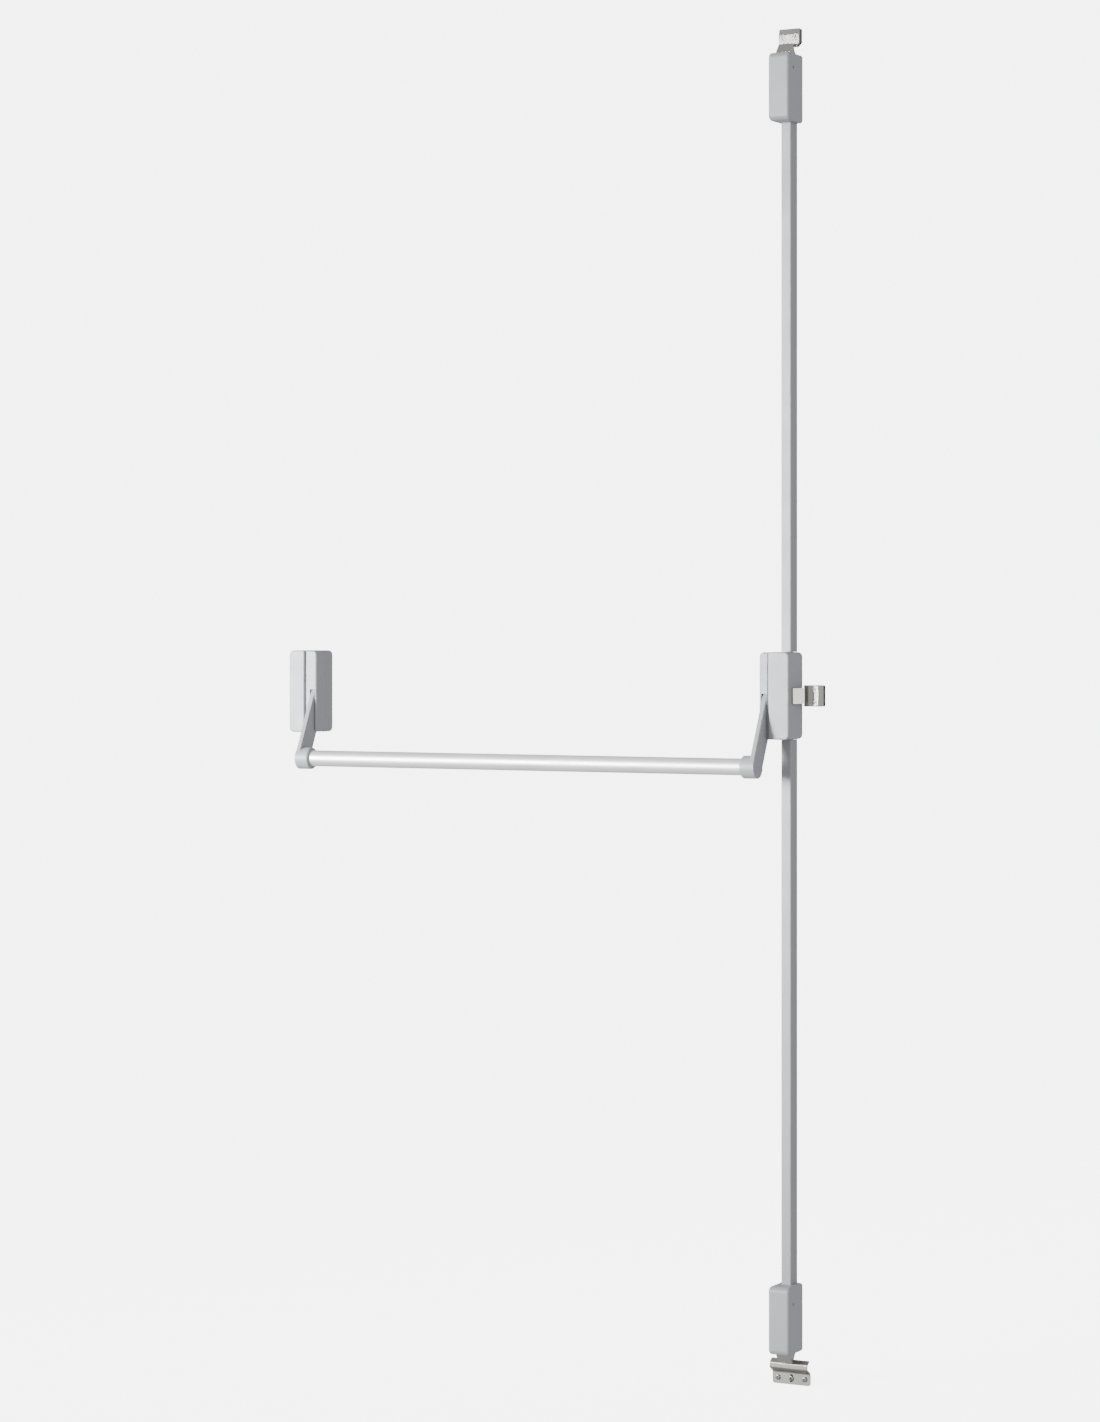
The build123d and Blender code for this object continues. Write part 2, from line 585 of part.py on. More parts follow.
with BuildPart() as upper_slider:
    with BuildSketch(SLIDER_FACE):
        with BuildLine():
            Polyline(
                (ROD_X + FORK_X[0], FORK_TIP_Z), (ROD_X + FORK_X[1], FORK_TIP_Z),
                (ROD_X + FORK_X[1], CAM_WING_Z[1]), (ROD_X + NECK_HALF, UPPER_NECK_Z),
                (ROD_X + NECK_HALF, NECK_END), (ROD_X - NECK_HALF, NECK_END),
                (ROD_X - NECK_HALF, UPPER_NECK_Z), (CAM_WING_X, CAM_WING_Z[1]),
                (CAM_WING_X, CAM_WING_Z[0]), (ROD_X + FORK_TIP_Z, FORK_ROOT_Z),
                (ROD_X + FORK_X[0], FORK_ROOT_Z), close=True,
            )
        make_face()
        pin_notch(1)
        cam_run = (-LATCH_STROKE, ROD_STROKE)
        cam_l = hypot(cam_run[0], cam_run[1])
        with Locations((LATCH_PIN[0] + cam_run[0] / 2, LATCH_PIN[1] + cam_run[1] / 2)):
            SlotCenterToCenter(cam_l, PIN_D + 2 * SLOT_PLAY,
                               rotation=degrees(atan2(cam_run[1], cam_run[0])),
                               mode=Mode.SUBTRACT)
    extrude(amount=SLIDER_T)
upper_slider.part.label = "upper_slider"
export_step(upper_slider.part, "parts/upper_slider.step")

with BuildPart() as lower_slider:
    with BuildSketch(SLIDER_FACE):
        with BuildLine():
            Polyline(
                (ROD_X - FORK_X[0], -FORK_TIP_Z), (ROD_X - FORK_X[1], -FORK_TIP_Z),
                (ROD_X - FORK_X[1], LOWER_NECK_Z + 6), (ROD_X - NECK_HALF, LOWER_NECK_Z),
                (ROD_X - NECK_HALF, -NECK_END), (ROD_X + NECK_HALF, -NECK_END),
                (ROD_X + NECK_HALF, -FORK_ROOT_Z), (ROD_X - FORK_X[0], -FORK_ROOT_Z), close=True,
            )
        make_face()
        pin_notch(-1)
    extrude(amount=SLIDER_T)
lower_slider.part.label = "lower_slider"
export_step(lower_slider.part, "parts/lower_slider.step")

GUIDE_Z = (46.0, 52.0)
GUIDE_HALF = 9.5
GUIDE_FRONT = -11.5
COUPLER_Z = (66.0, 86.0)
COUPLER_HALF = 5.0
COUPLER_FRONT = -17.0
COUPLER_CHAMFER = 0.8
ROD_START = 76.0
ROD_SOCKET = 12.0
for level, sign in (("upper", 1), ("lower", -1)):
    with BuildPart() as slider_guide:
        span_z = (sign * GUIDE_Z[0], sign * GUIDE_Z[1])
        block((ROD_X - GUIDE_HALF, ROD_X + GUIDE_HALF), (GUIDE_FRONT, -PLATE_T), span_z)
        block((ROD_X - NECK_HALF - SLIDE_GAP, ROD_X + NECK_HALF + SLIDE_GAP),
              (SLIDER_Y[0] - SLIDE_GAP, SLIDER_Y[1] + SLIDE_GAP), span_z, Mode.SUBTRACT)
    slider_guide.part.label = f"{level}_slider_guide"
    export_step(slider_guide.part, f"parts/{level}_slider_guide.step")
    with BuildPart() as coupler:
        block((ROD_X - COUPLER_HALF, ROD_X + COUPLER_HALF), (COUPLER_FRONT, SLIDER_Y[0]),
              (sign * COUPLER_Z[0], sign * COUPLER_Z[1]))
        chamfer(coupler.edges().filter_by(Axis.Z), COUPLER_CHAMFER)
        rod_along(Plane.XY.offset(sign * ROD_START), (ROD_X, ROD_Y), ROD_D / 2,
                  sign * ROD_SOCKET, Mode.SUBTRACT)
    coupler.part.label = f"{level}_coupler"
    export_step(coupler.part, f"parts/{level}_coupler.step")

# =================================================================================
# Side latch
# =================================================================================

LATCH_BACK_X = 20.0
LATCH_ROOF_X = 29.5
LATCH_TIP_X = 44.5
CARRIAGE_X = (9.0, 22.0)
CARRIAGE_Y = -20.0
CARRIAGE_Z = (9.5, 24.5)
LATCH_PIN_GRIP = 4.0      # length of the pin inside the latch
RIDGE_R = 1.0             # rounding of the latch's and the bolts' ridges
with BuildPart() as side_latch:
    with BuildSketch(Plane.XY.offset(-LATCH_H / 2)):
        with BuildLine():
            Polyline(
                (LATCH_BACK_X, LATCH_Y[0]), (LATCH_ROOF_X, LATCH_Y[0]), (LATCH_TIP_X, LATCH_MID_Y),
                (LATCH_ROOF_X, LATCH_Y[1]), (LATCH_BACK_X, LATCH_Y[1]), close=True,
            )
        make_face()
    extrude(amount=LATCH_H)
    fillet(side_latch.edges().filter_by(Axis.Z).sort_by(Axis.X)[-1], RIDGE_R)
    block(CARRIAGE_X, (CARRIAGE_Y, LATCH_Y[1]), CARRIAGE_Z)
    rod_along(Plane.XZ.offset(-LATCH_Y[1]), LATCH_PIN, PIN_D / 2, LATCH_PIN_GRIP,
              Mode.SUBTRACT)
side_latch.part.label = "side_latch"
export_step(side_latch.part, "parts/side_latch.step")

with BuildPart() as latch_pin:
    rod_along(Plane.XZ.offset(-PIN_TAIL_Y), LATCH_PIN, PIN_D / 2,
              PIN_TAIL_Y - LATCH_Y[1] + LATCH_PIN_GRIP)
latch_pin.part.label = "latch_pin"
export_step(latch_pin.part, "parts/latch_pin.step")

# =================================================================================
# Latch cases with their bolts, rods and rod covers
# =================================================================================

SHELF_U = (4.0, 7.0)      # heights in a case are measured from its rod end
SHELF_HALF = 9.0
SHELF_FRONT = -21.0
CARRIER_U = (51.0, 63.0)
CARRIER_HALF = 7.0
CARRIER_BACK = -5.5
ROD_PLAY = 0.35
CASE_PLATE_HOLES = (24.0, 84.0)
CASE_HOLE_R = 2.5
EAR_T = 2.0
EAR_REACH = 44.0
EAR_HALF = 8.0
CASE_SCREW_Y = -38.0
CASE_SCREW_HEAD = (3.4, 1.7)
CASE_SCREW_L = 2 * WALL + 1.4
COIL_R = 6.0
COIL_WIRE = 0.8
COIL_TURNS = 9
COIL_SEAT = 0.1           # the spring's end turns stop this far from their seats
COVER_OVERLAP = 2.0
COVER_ROUND = 2.5


def case_plane(base_z, sign, u):
    """A horizontal plane at height u of a case, its normal towards the bolt's end."""
    return Plane((0, 0, base_z + sign * u), x_dir=(1, 0, 0), z_dir=(0, 0, sign))


def case_block(base_z, sign, half_w, y, u, mode=Mode.ADD):
    """A block centred on the rod's axis, between two heights of a case."""
    block((ROD_X - half_w, ROD_X + half_w), y, (base_z + sign * u[0], base_z + sign * u[1]), mode)


def case_cover(base_z, sign, screw_u):
    """A cast case with big nose radii, open at the back, the rod end and the bolt's end."""
    mid_z = base_z + sign * CASE_H / 2
    with BuildPart() as cover:
        with BuildSketch(Plane.YZ.offset(ROD_X - CASE_W / 2)) as side_view:
            with Locations((-(CASE_D + DOOR_GAP) / 2, mid_z)):
                Rectangle(CASE_D - DOOR_GAP, CASE_H)
            fillet(side_view.vertices().sort_by(Axis.X)[:2], CASE_NOSE)
        extrude(amount=CASE_W)
        side_faces = cover.faces().filter_by(Axis.X)
        rims = side_faces.edges().filter_by(lambda edge: edge.center().Y < -CASE_EDGE)
        fillet(rims, CASE_EDGE)
        with BuildSketch(Plane.YZ.offset(ROD_X - CASE_W / 2 + WALL)) as cavity:
            with Locations((-(CASE_D - WALL) / 2, mid_z)):
                Rectangle(CASE_D - WALL, CASE_H - 2 * WALL)
            fillet(cavity.vertices().sort_by(Axis.X)[:2], CASE_NOSE - WALL)
        extrude(amount=CASE_W - 2 * WALL, mode=Mode.SUBTRACT)
        case_block(base_z, sign, BOLT_W / 2 + SLIDE_GAP, (BOLT_Y[0] - SLIDE_GAP, BOLT_Y[1] + SLIDE_GAP),
                   (CASE_H - 2 * WALL, CASE_H + 1), Mode.SUBTRACT)
        case_block(base_z, sign, COVER_W / 2 + FIT_GAP, (-COVER_D - FIT_GAP, 0),
                   (-1, 2 * WALL), Mode.SUBTRACT)
        for facing in (-1, 1):
            outside = case_side(base_z, sign, facing)
            sunk_holes(outside, [(facing * CASE_SCREW_Y, sign * screw_u)], SCREW_CORE, 2 * WALL,
                       *CASE_SCREW_HEAD)
    return cover


def case_side(base_z, sign, facing):
    """The case's side face: local X is +Y on the right side, and -Y on the left."""
    return Plane((ROD_X + facing * CASE_W / 2, 0, base_z), x_dir=(0, facing, 0), z_dir=(facing, 0, 0))


def case_base(base_z, sign, screw_u):
    """The case's steel back plate, with the spring shelf and two ears for the case screws."""
    mid = Plane((ROD_X, 0, base_z + sign * CASE_H / 2), x_dir=(1, 0, 0), z_dir=(0, -1, 0))
    half_w = CASE_W / 2 - WALL - FIT_GAP
    with BuildPart() as base:
        with BuildSketch(mid):
            Rectangle(2 * half_w, CASE_H - 2 * WALL - 2 * FIT_GAP)
            with GridLocations(CASE_PLATE_HOLES[0], CASE_PLATE_HOLES[1], 2, 2):
                Circle(CASE_HOLE_R, mode=Mode.SUBTRACT)
        extrude(amount=PLATE_T)
        case_block(base_z, sign, SHELF_HALF, (SHELF_FRONT, -PLATE_T), SHELF_U)
        rod_along(case_plane(base_z, sign, SHELF_U[0] - 1), (ROD_X, sign * ROD_Y), ROD_D / 2 + ROD_PLAY,
                  SHELF_U[1] - SHELF_U[0] + 2, Mode.SUBTRACT)
        for facing in (-1, 1):
            ear = (ROD_X + facing * half_w, ROD_X + facing * (half_w - EAR_T))
            ear_z = (base_z + sign * (screw_u - EAR_HALF), base_z + sign * (screw_u + EAR_HALF))
            block(ear, (-EAR_REACH, -PLATE_T), ear_z)
            rod_along(case_side(base_z, sign, facing), (facing * CASE_SCREW_Y, sign * screw_u),
                      SCREW_CORE, -2 * CASE_SCREW_L, Mode.SUBTRACT)
    return base


def case_screws(base_z, sign, screw_u):
    """The two countersunk screws in the case's sides."""
    spot = sign * screw_u
    right = flat_screw(case_side(base_z, sign, 1), [(CASE_SCREW_Y, spot)], SCREW_CORE,
                       CASE_SCREW_L, *CASE_SCREW_HEAD)
    left = flat_screw(case_side(base_z, sign, -1), [(-CASE_SCREW_Y, spot)], SCREW_CORE,
                      CASE_SCREW_L, *CASE_SCREW_HEAD)
    with BuildPart() as screws:
        add(right.part)
        add(left.part)
    return screws


def wedge_bolt(base_z, sign):
    """A steel bolt with a roof-shaped end whose ridge runs along X."""
    mid_y = (BOLT_Y[0] + BOLT_Y[1]) / 2
    tip = CASE_H + BOLT_OUT
    with BuildPart() as bolt:
        with BuildSketch(Plane.YZ.offset(ROD_X - BOLT_W / 2)):
            with BuildLine():
                Polyline(
                    (BOLT_Y[0], base_z + sign * CARRIER_U[1]),
                    (BOLT_Y[0], base_z + sign * (tip - BOLT_ROOF)), (mid_y, base_z + sign * tip),
                    (BOLT_Y[1], base_z + sign * (tip - BOLT_ROOF)),
                    (BOLT_Y[1], base_z + sign * CARRIER_U[1]), close=True,
                )
            make_face()
        extrude(amount=BOLT_W)
        ridge = bolt.edges().filter_by(Axis.X).sort_by(lambda edge: sign * edge.center().Z)[-1]
        fillet(ridge, RIDGE_R)
    return bolt


def bolt_carrier(base_z, sign):
    """The foot that joins the bolt to the end of its rod."""
    with BuildPart() as carrier:
        case_block(base_z, sign, CARRIER_HALF, (BOLT_Y[0] + 1, CARRIER_BACK), CARRIER_U)
        rod_along(case_plane(base_z, sign, CARRIER_U[0]), (ROD_X, sign * ROD_Y), ROD_D / 2,
                  CARRIER_U[1] - CARRIER_U[0], Mode.SUBTRACT)
    return carrier


def bolt_spring(base_z, sign):
    """A compression spring round the rod, from the shelf to the bolt's foot."""
    start = SHELF_U[1] + COIL_WIRE + COIL_SEAT
    height = CARRIER_U[0] - COIL_WIRE - COIL_SEAT - start
    seat = (ROD_X, ROD_Y, base_z + sign * start)
    with BuildPart() as spring:
        with BuildLine() as coil:
            Helix(height / COIL_TURNS, height, COIL_R, center=seat, direction=(0, 0, sign))
        with BuildSketch(Plane(coil.line @ 0, z_dir=coil.line % 0)):
            Circle(COIL_WIRE)
        sweep(is_frenet=True)
    return spring


def rod(base_z, sign):
    """The round rod from the coupler to the bolt's foot."""
    end = abs(base_z) + CARRIER_U[1]
    with BuildPart() as bar:
        rod_along(case_plane(0, sign, ROD_START), (ROD_X, sign * ROD_Y), ROD_D / 2, end - ROD_START)
    return bar


def rod_cover(base_z, sign):
    """The U-shaped cover over a rod, open towards the door."""
    start = HOUSING_H / 2 + COVER_GAP
    end = abs(base_z) + COVER_OVERLAP
    mid_y = -(COVER_D + DOOR_GAP) / 2
    with BuildPart() as cover:
        with BuildSketch(case_plane(0, sign, start)) as section:
            with Locations((ROD_X, sign * mid_y)):
                Rectangle(COVER_W, COVER_D - DOOR_GAP)
            front = section.vertices().sort_by(lambda corner: sign * corner.Y)[:2]
            fillet(front, COVER_ROUND)
            with Locations((ROD_X, sign * (mid_y + COVER_T))):
                Rectangle(COVER_W - 2 * COVER_T, COVER_D - DOOR_GAP, mode=Mode.SUBTRACT)
        extrude(amount=end - start)
    return cover


ROD_GUIDE_AT = 510.0
ROD_GUIDE_H = 14.0
ROD_GUIDE_FRONT = -COVER_D + COVER_T + 3
for case, level, base_z, sign, screw_u in (
    ("top", "upper", TOP_CASE_Z, 1, 88.0),
    ("bottom", "lower", BOTTOM_CASE_Z, -1, 29.4),
):
    pieces = {
        f"{case}_case_cover": case_cover(base_z, sign, screw_u),
        f"{case}_case_base": case_base(base_z, sign, screw_u),
        f"{case}_case_screws": case_screws(base_z, sign, screw_u),
        f"{case}_bolt": wedge_bolt(base_z, sign),
        f"{case}_bolt_carrier": bolt_carrier(base_z, sign),
        f"{case}_bolt_spring": bolt_spring(base_z, sign),
        f"{level}_rod": rod(base_z, sign),
        f"{level}_rod_cover": rod_cover(base_z, sign),
    }
    with BuildPart() as rod_guide:
        guide_z = (sign * ROD_GUIDE_AT, sign * (ROD_GUIDE_AT + ROD_GUIDE_H))
        half = COVER_W / 2 - COVER_T - FIT_GAP
        block((ROD_X - half, ROD_X + half), (ROD_GUIDE_FRONT, 0), guide_z)
        rod_along(case_plane(0, sign, ROD_GUIDE_AT), (ROD_X, sign * ROD_Y), ROD_D / 2 + ROD_PLAY,
                  ROD_GUIDE_H, Mode.SUBTRACT)
    pieces[f"{level}_rod_guide"] = rod_guide
    for name, piece in pieces.items():
        piece.part.label = name
        export_step(piece.part, f"parts/{name}.step")

# =================================================================================
# Strikes on the door frame
# =================================================================================

STRIKE_SHANK = 2.5
STRIKE_HOLE = STRIKE_SHANK + 0.2
STRIKE_HEAD = (4.9, 2.5)
STRIKE_CSK = (5.0, 2.5)
TOP_FACE_Y = -14.0
TOP_BACK_Y = -9.0
TOP_BEND_Z = 1093.5
TOP_LEAN = 2.8
TOP_NOSE_Y = -23.0
TOP_NOSE_HALF = 8.0
TOP_NOSE_H = 4.0
TOP_CORNER = 6.0
TOP_SCREW_Z = TOP_STRIKE[1] + 16.0
TOP_SCREWS = [(ROD_X - 11.5, TOP_SCREW_Z), (ROD_X + 11.5, TOP_SCREW_Z)]
TOP_FACE = Plane.XZ.offset(-TOP_FACE_Y)
with BuildPart() as top_strike:
    with BuildSketch(Plane.YZ.offset(ROD_X - TOP_STRIKE[0] / 2)):
        with BuildLine():
            Polyline(
                (TOP_FACE_Y, TOP_STRIKE[1]), (TOP_FACE_Y, TOP_BEND_Z),
                (TOP_FACE_Y + TOP_LEAN, TOP_STRIKE[2]), (TOP_BACK_Y, TOP_STRIKE[2]),
                (TOP_BACK_Y, TOP_STRIKE[1]), close=True,
            )
        make_face()
    extrude(amount=TOP_STRIKE[0])
    low = top_strike.edges().filter_by(Axis.Y).group_by(Axis.Z)[0]
    chamfer(low, TOP_CORNER)
    block((ROD_X - TOP_NOSE_HALF, ROD_X + TOP_NOSE_HALF), (TOP_NOSE_Y, TOP_FACE_Y),
          (TOP_STRIKE[1], TOP_STRIKE[1] + TOP_NOSE_H))
    sunk_holes(TOP_FACE, TOP_SCREWS, STRIKE_HOLE, 6.0, *STRIKE_CSK)
top_strike.part.label = "top_strike"
export_step(top_strike.part, "parts/top_strike.step")

with BuildPart() as top_strike_packer:
    with BuildSketch(Plane.XZ) as packer_face:
        with Locations((ROD_X, (TOP_STRIKE[1] + TOP_STRIKE[2]) / 2)):
            Rectangle(TOP_STRIKE[0] - 1, TOP_STRIKE[2] - TOP_STRIKE[1] - 1)
        chamfer(packer_face.vertices().group_by(Axis.Y)[0], TOP_CORNER)
    extrude(amount=-TOP_BACK_Y)
    for spot in TOP_SCREWS:
        rod_along(Plane.XZ.offset(-1), spot, STRIKE_HOLE, 12.0, Mode.SUBTRACT)
top_strike_packer.part.label = "top_strike_packer"
export_step(top_strike_packer.part, "parts/top_strike_packer.step")

top_strike_screws = flat_screw(TOP_FACE, TOP_SCREWS, STRIKE_SHANK, -TOP_FACE_Y, *STRIKE_HEAD)
top_strike_screws.part.label = "top_strike_screws"
export_step(top_strike_screws.part, "parts/top_strike_screws.step")

SIDE_FACE_Y = -13.2
SIDE_BACK_Y = -10.2
SIDE_SCREW_X = 55.8
SIDE_SCREWS = [(SIDE_SCREW_X, -11.0), (SIDE_SCREW_X, 11.0)]
SIDE_FACE = Plane.XZ.offset(-SIDE_FACE_Y)
SIDE_NOSE_X = (37.6, 46.8)       # the raised nose beside the latch
SIDE_NOSE_Y = -19.0
SIDE_SHEET = 3.0
SIDE_STRIP_X = (50.5, 61.5)      # the flat strip that takes the screws
SIDE_END_X = 69.0
SIDE_END_Y = (-10.6, -7.8)       # front and back of the bent end
SIDE_BEND_R = 1.6
with BuildPart() as side_strike:
    with BuildSketch(Plane.XY.offset(-SIDE_STRIKE_H / 2)):
        with BuildLine():
            Polyline(
                (SIDE_NOSE_X[0], SIDE_NOSE_Y), (SIDE_NOSE_X[1], SIDE_NOSE_Y),
                (SIDE_STRIP_X[0], SIDE_FACE_Y), (SIDE_STRIP_X[1], SIDE_FACE_Y),
                (SIDE_END_X, SIDE_END_Y[0]), (SIDE_END_X, SIDE_END_Y[1]),
                (SIDE_STRIP_X[1], SIDE_BACK_Y), (SIDE_STRIP_X[0] - 1.7, SIDE_BACK_Y),
                (SIDE_NOSE_X[1] - 1.4, SIDE_NOSE_Y + SIDE_SHEET),
                (SIDE_NOSE_X[0], SIDE_NOSE_Y + SIDE_SHEET), close=True,
            )
        make_face()
    extrude(amount=SIDE_STRIKE_H)
    bends = side_strike.edges().filter_by(Axis.Z).filter_by(
        lambda edge: SIDE_NOSE_X[1] - 2 < edge.center().X < SIDE_STRIP_X[0] + 2)
    fillet(bends, SIDE_BEND_R)
    fillet(side_strike.edges().filter_by(Axis.Z).sort_by(Axis.X)[:2], 1.2)
    sunk_holes(SIDE_FACE, SIDE_SCREWS, STRIKE_HOLE, 6.0, *STRIKE_CSK)
side_strike.part.label = "side_strike"
export_step(side_strike.part, "parts/side_strike.step")

with BuildPart() as side_strike_packer:
    with BuildSketch(Plane.XY.offset(-SIDE_STRIKE_H / 2 + 0.5)):
        with BuildLine():
            Polyline((SIDE_STRIP_X[0] - 0.9, 0), (SIDE_STRIP_X[0] - 0.9, SIDE_BACK_Y),
                     (SIDE_STRIP_X[1], SIDE_BACK_Y), (SIDE_END_X - 0.5, SIDE_END_Y[1] - 0.16),
                     (SIDE_END_X - 0.5, 0), close=True)
        make_face()
    extrude(amount=SIDE_STRIKE_H - 1)
    for spot in SIDE_SCREWS:
        rod_along(Plane.XZ.offset(-1), spot, STRIKE_HOLE, 13.0, Mode.SUBTRACT)
side_strike_packer.part.label = "side_strike_packer"
export_step(side_strike_packer.part, "parts/side_strike_packer.step")

side_strike_screws = flat_screw(SIDE_FACE, SIDE_SCREWS, STRIKE_SHANK, -SIDE_FACE_Y, *STRIKE_HEAD)
side_strike_screws.part.label = "side_strike_screws"
export_step(side_strike_screws.part, "parts/side_strike_screws.step")

SHEET_T = 2.0
SEAT_Z = BOTTOM_STRIKE[1] + 10.5
SEAT_FRONT_Y = -4.0
BULGE_Y = -16.0           # front of the sheet's bulge
BULGE_Z = (-1121.5, -1114.0, -1105.0)    # where the sheet leaves the seat, and the bulge's ends
LIP_Y = -7.5
SHEET_BEND_R = 3.4
BOTTOM_PITCH = 24.0
BOTTOM_HEAD = (4.4, 2.4)
SLOT_SIZE = (13.0, 6.4)   # upright slot of the middle screw
with BuildPart() as bottom_strike:
    with BuildSketch(Plane.YZ.offset(ROD_X - BOTTOM_STRIKE[0] / 2)):
        with BuildLine():
            FilletPolyline(
                (SEAT_FRONT_Y, BOTTOM_STRIKE[1]), (SEAT_FRONT_Y, BULGE_Z[0]), (BULGE_Y, BULGE_Z[1]),
                (BULGE_Y, BULGE_Z[2]), (LIP_Y, BOTTOM_STRIKE[2]), radius=SHEET_BEND_R,
            )
            offset(amount=SHEET_T, side=Side.RIGHT)
        make_face()
    extrude(amount=BOTTOM_STRIKE[0])
    feet = bottom_strike.edges().filter_by(Axis.Y).group_by(Axis.Z)[0]
    fillet(feet, 4.0)
    with BuildSketch(Plane.XZ.offset(-SEAT_FRONT_Y)):
        with Locations((ROD_X - BOTTOM_PITCH, SEAT_Z), (ROD_X + BOTTOM_PITCH, SEAT_Z)):
            Circle(STRIKE_HOLE)
        with Locations((ROD_X, SEAT_Z)):
            SlotOverall(SLOT_SIZE[0], SLOT_SIZE[1], rotation=90)
    extrude(amount=-SHEET_T, mode=Mode.SUBTRACT)
bottom_strike.part.label = "bottom_strike"
export_step(bottom_strike.part, "parts/bottom_strike.step")

BOTTOM_SCREWS = [(ROD_X + step * BOTTOM_PITCH, SEAT_Z) for step in (-1, 0, 1)]
with BuildPart() as bottom_strike_packer:
    with BuildSketch(Plane.XZ):
        with Locations((ROD_X, BOTTOM_STRIKE[1] + 10.3)):
            RectangleRounded(BOTTOM_STRIKE[0] - 1, 19.6, 3.0)
    extrude(amount=-SEAT_FRONT_Y - SHEET_T)
    for spot in BOTTOM_SCREWS:
        rod_along(Plane.XZ.offset(-1), spot, STRIKE_HOLE, 6.0, Mode.SUBTRACT)
bottom_strike_packer.part.label = "bottom_strike_packer"
export_step(bottom_strike_packer.part, "parts/bottom_strike_packer.step")

bottom_strike_screws = pan_screw(Plane.XZ.offset(-SEAT_FRONT_Y), BOTTOM_SCREWS, STRIKE_SHANK,
                                 -SEAT_FRONT_Y, *BOTTOM_HEAD)
bottom_strike_screws.part.label = "bottom_strike_screws"
export_step(bottom_strike_screws.part, "parts/bottom_strike_screws.step")
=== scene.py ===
"""Looks of a push-bar panic exit device: cast covers, satin tube, bolts, strikes and screws."""

import json
from math import cos, pi, radians, sin

import bmesh
import bpy
from bpy.props import FloatProperty, FloatVectorProperty, PointerProperty, StringProperty
from bpy.types import Operator, Panel, PropertyGroup
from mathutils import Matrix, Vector


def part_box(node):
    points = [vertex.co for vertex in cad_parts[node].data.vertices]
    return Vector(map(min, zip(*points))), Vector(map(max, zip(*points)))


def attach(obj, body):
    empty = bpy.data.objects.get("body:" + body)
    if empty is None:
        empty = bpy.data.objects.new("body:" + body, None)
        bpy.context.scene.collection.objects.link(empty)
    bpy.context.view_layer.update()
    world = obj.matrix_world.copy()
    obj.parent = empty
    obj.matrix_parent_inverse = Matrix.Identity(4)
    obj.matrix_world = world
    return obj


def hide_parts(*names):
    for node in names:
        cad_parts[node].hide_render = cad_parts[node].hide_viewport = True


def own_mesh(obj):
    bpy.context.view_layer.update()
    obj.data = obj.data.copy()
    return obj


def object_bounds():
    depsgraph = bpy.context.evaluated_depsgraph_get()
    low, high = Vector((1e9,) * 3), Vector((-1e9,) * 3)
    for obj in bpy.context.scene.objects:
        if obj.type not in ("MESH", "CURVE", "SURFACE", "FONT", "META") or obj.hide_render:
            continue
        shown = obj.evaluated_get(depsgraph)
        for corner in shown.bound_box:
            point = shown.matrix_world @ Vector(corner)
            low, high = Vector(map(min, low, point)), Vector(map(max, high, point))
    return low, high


bl_info = {
    "name": "Panic Exit Bar",
    "version": (1, 0, 0),
    "blender": (4, 5, 0),
    "location": "View3D > Sidebar > Exit Bar",
    "description": "Finishes the pieces of a push-bar panic exit device",
    "category": "Object",
}

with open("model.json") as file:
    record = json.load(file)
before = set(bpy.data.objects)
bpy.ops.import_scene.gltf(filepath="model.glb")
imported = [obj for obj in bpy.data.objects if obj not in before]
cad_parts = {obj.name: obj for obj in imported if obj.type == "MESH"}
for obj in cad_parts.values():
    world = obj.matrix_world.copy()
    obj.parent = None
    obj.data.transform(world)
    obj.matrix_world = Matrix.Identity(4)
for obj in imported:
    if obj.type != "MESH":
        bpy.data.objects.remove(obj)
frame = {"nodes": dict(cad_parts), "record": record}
CAD_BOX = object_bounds()
MM = 0.001
BODY_OF = {node: body for body, nodes in frame["record"]["behaviour"]["bodies"].items() for node in nodes}


def linear(hex_colour):
    """An sRGB hex colour as a linear RGBA tuple."""
    channels = [int(hex_colour[i:i + 2], 16) / 255 for i in (1, 3, 5)]
    return tuple(c / 12.92 if c <= 0.04045 else ((c + 0.055) / 1.055) ** 2.4 for c in channels) + (1.0,)


def middle(node):
    """The centre of a CAD node's box."""
    low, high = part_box(node)
    return (low + high) / 2


# ---- sizes and colours that a user would change ----------------------------------

def colour(name, description, hex_colour):
    """A colour property whose default is an sRGB hex value."""
    return FloatVectorProperty(name=name, description=description, subtype="COLOR", size=4,
                               min=0, max=1, default=linear(hex_colour))


def length(name, description, default):
    """A length property in metres."""
    return FloatProperty(name=name, description=description, default=default, min=0,
                         unit="LENGTH", subtype="DISTANCE")


class ExitBarColours(PropertyGroup):
    """Colours of the finishes."""
    powder: colour("Powder coat", "Silver-grey powder coat of the castings", "#9FA0A4")
    tube: colour("Push tube", "Satin anodised aluminium of the push tube", "#E9E9E8")
    extrusion: colour("Rod covers", "Anodised aluminium of the rod covers", "#999A9D")
    nickel: colour("Bolts", "Nickel plate of the bolts", "#B9B6AE")
    stainless: colour("Strikes", "Stainless sheet of the strikes", "#A6A49D")
    zinc: colour("Zinc plate", "Zinc plate of screws and brackets", "#9A9EA2")


class ExitBarSizes(PropertyGroup):
    """Sizes of edges, screws and springs."""
    cast_edge: length("Cast edge", "Softening of the castings' sharp edges", 0.45 * MM)
    plate_edge: length("Plate edge", "Softening of machined and sheared edges", 0.3 * MM)
    tube_wall: length("Tube wall", "Wall thickness of the push tube", 2.0 * MM)
    tube_chamfer: length("Tube chamfer", "Chamfer on the tube's cut ends", 0.5 * MM)
    thread_pitch: length("Thread pitch", "Pitch of the screws' threads", 0.8 * MM)
    recess: length("Recess width", "Width of a screw's cross recess", 1.4 * MM)
    wire: length("Spring wire", "Wire diameter of the bolt springs", 1.6 * MM)


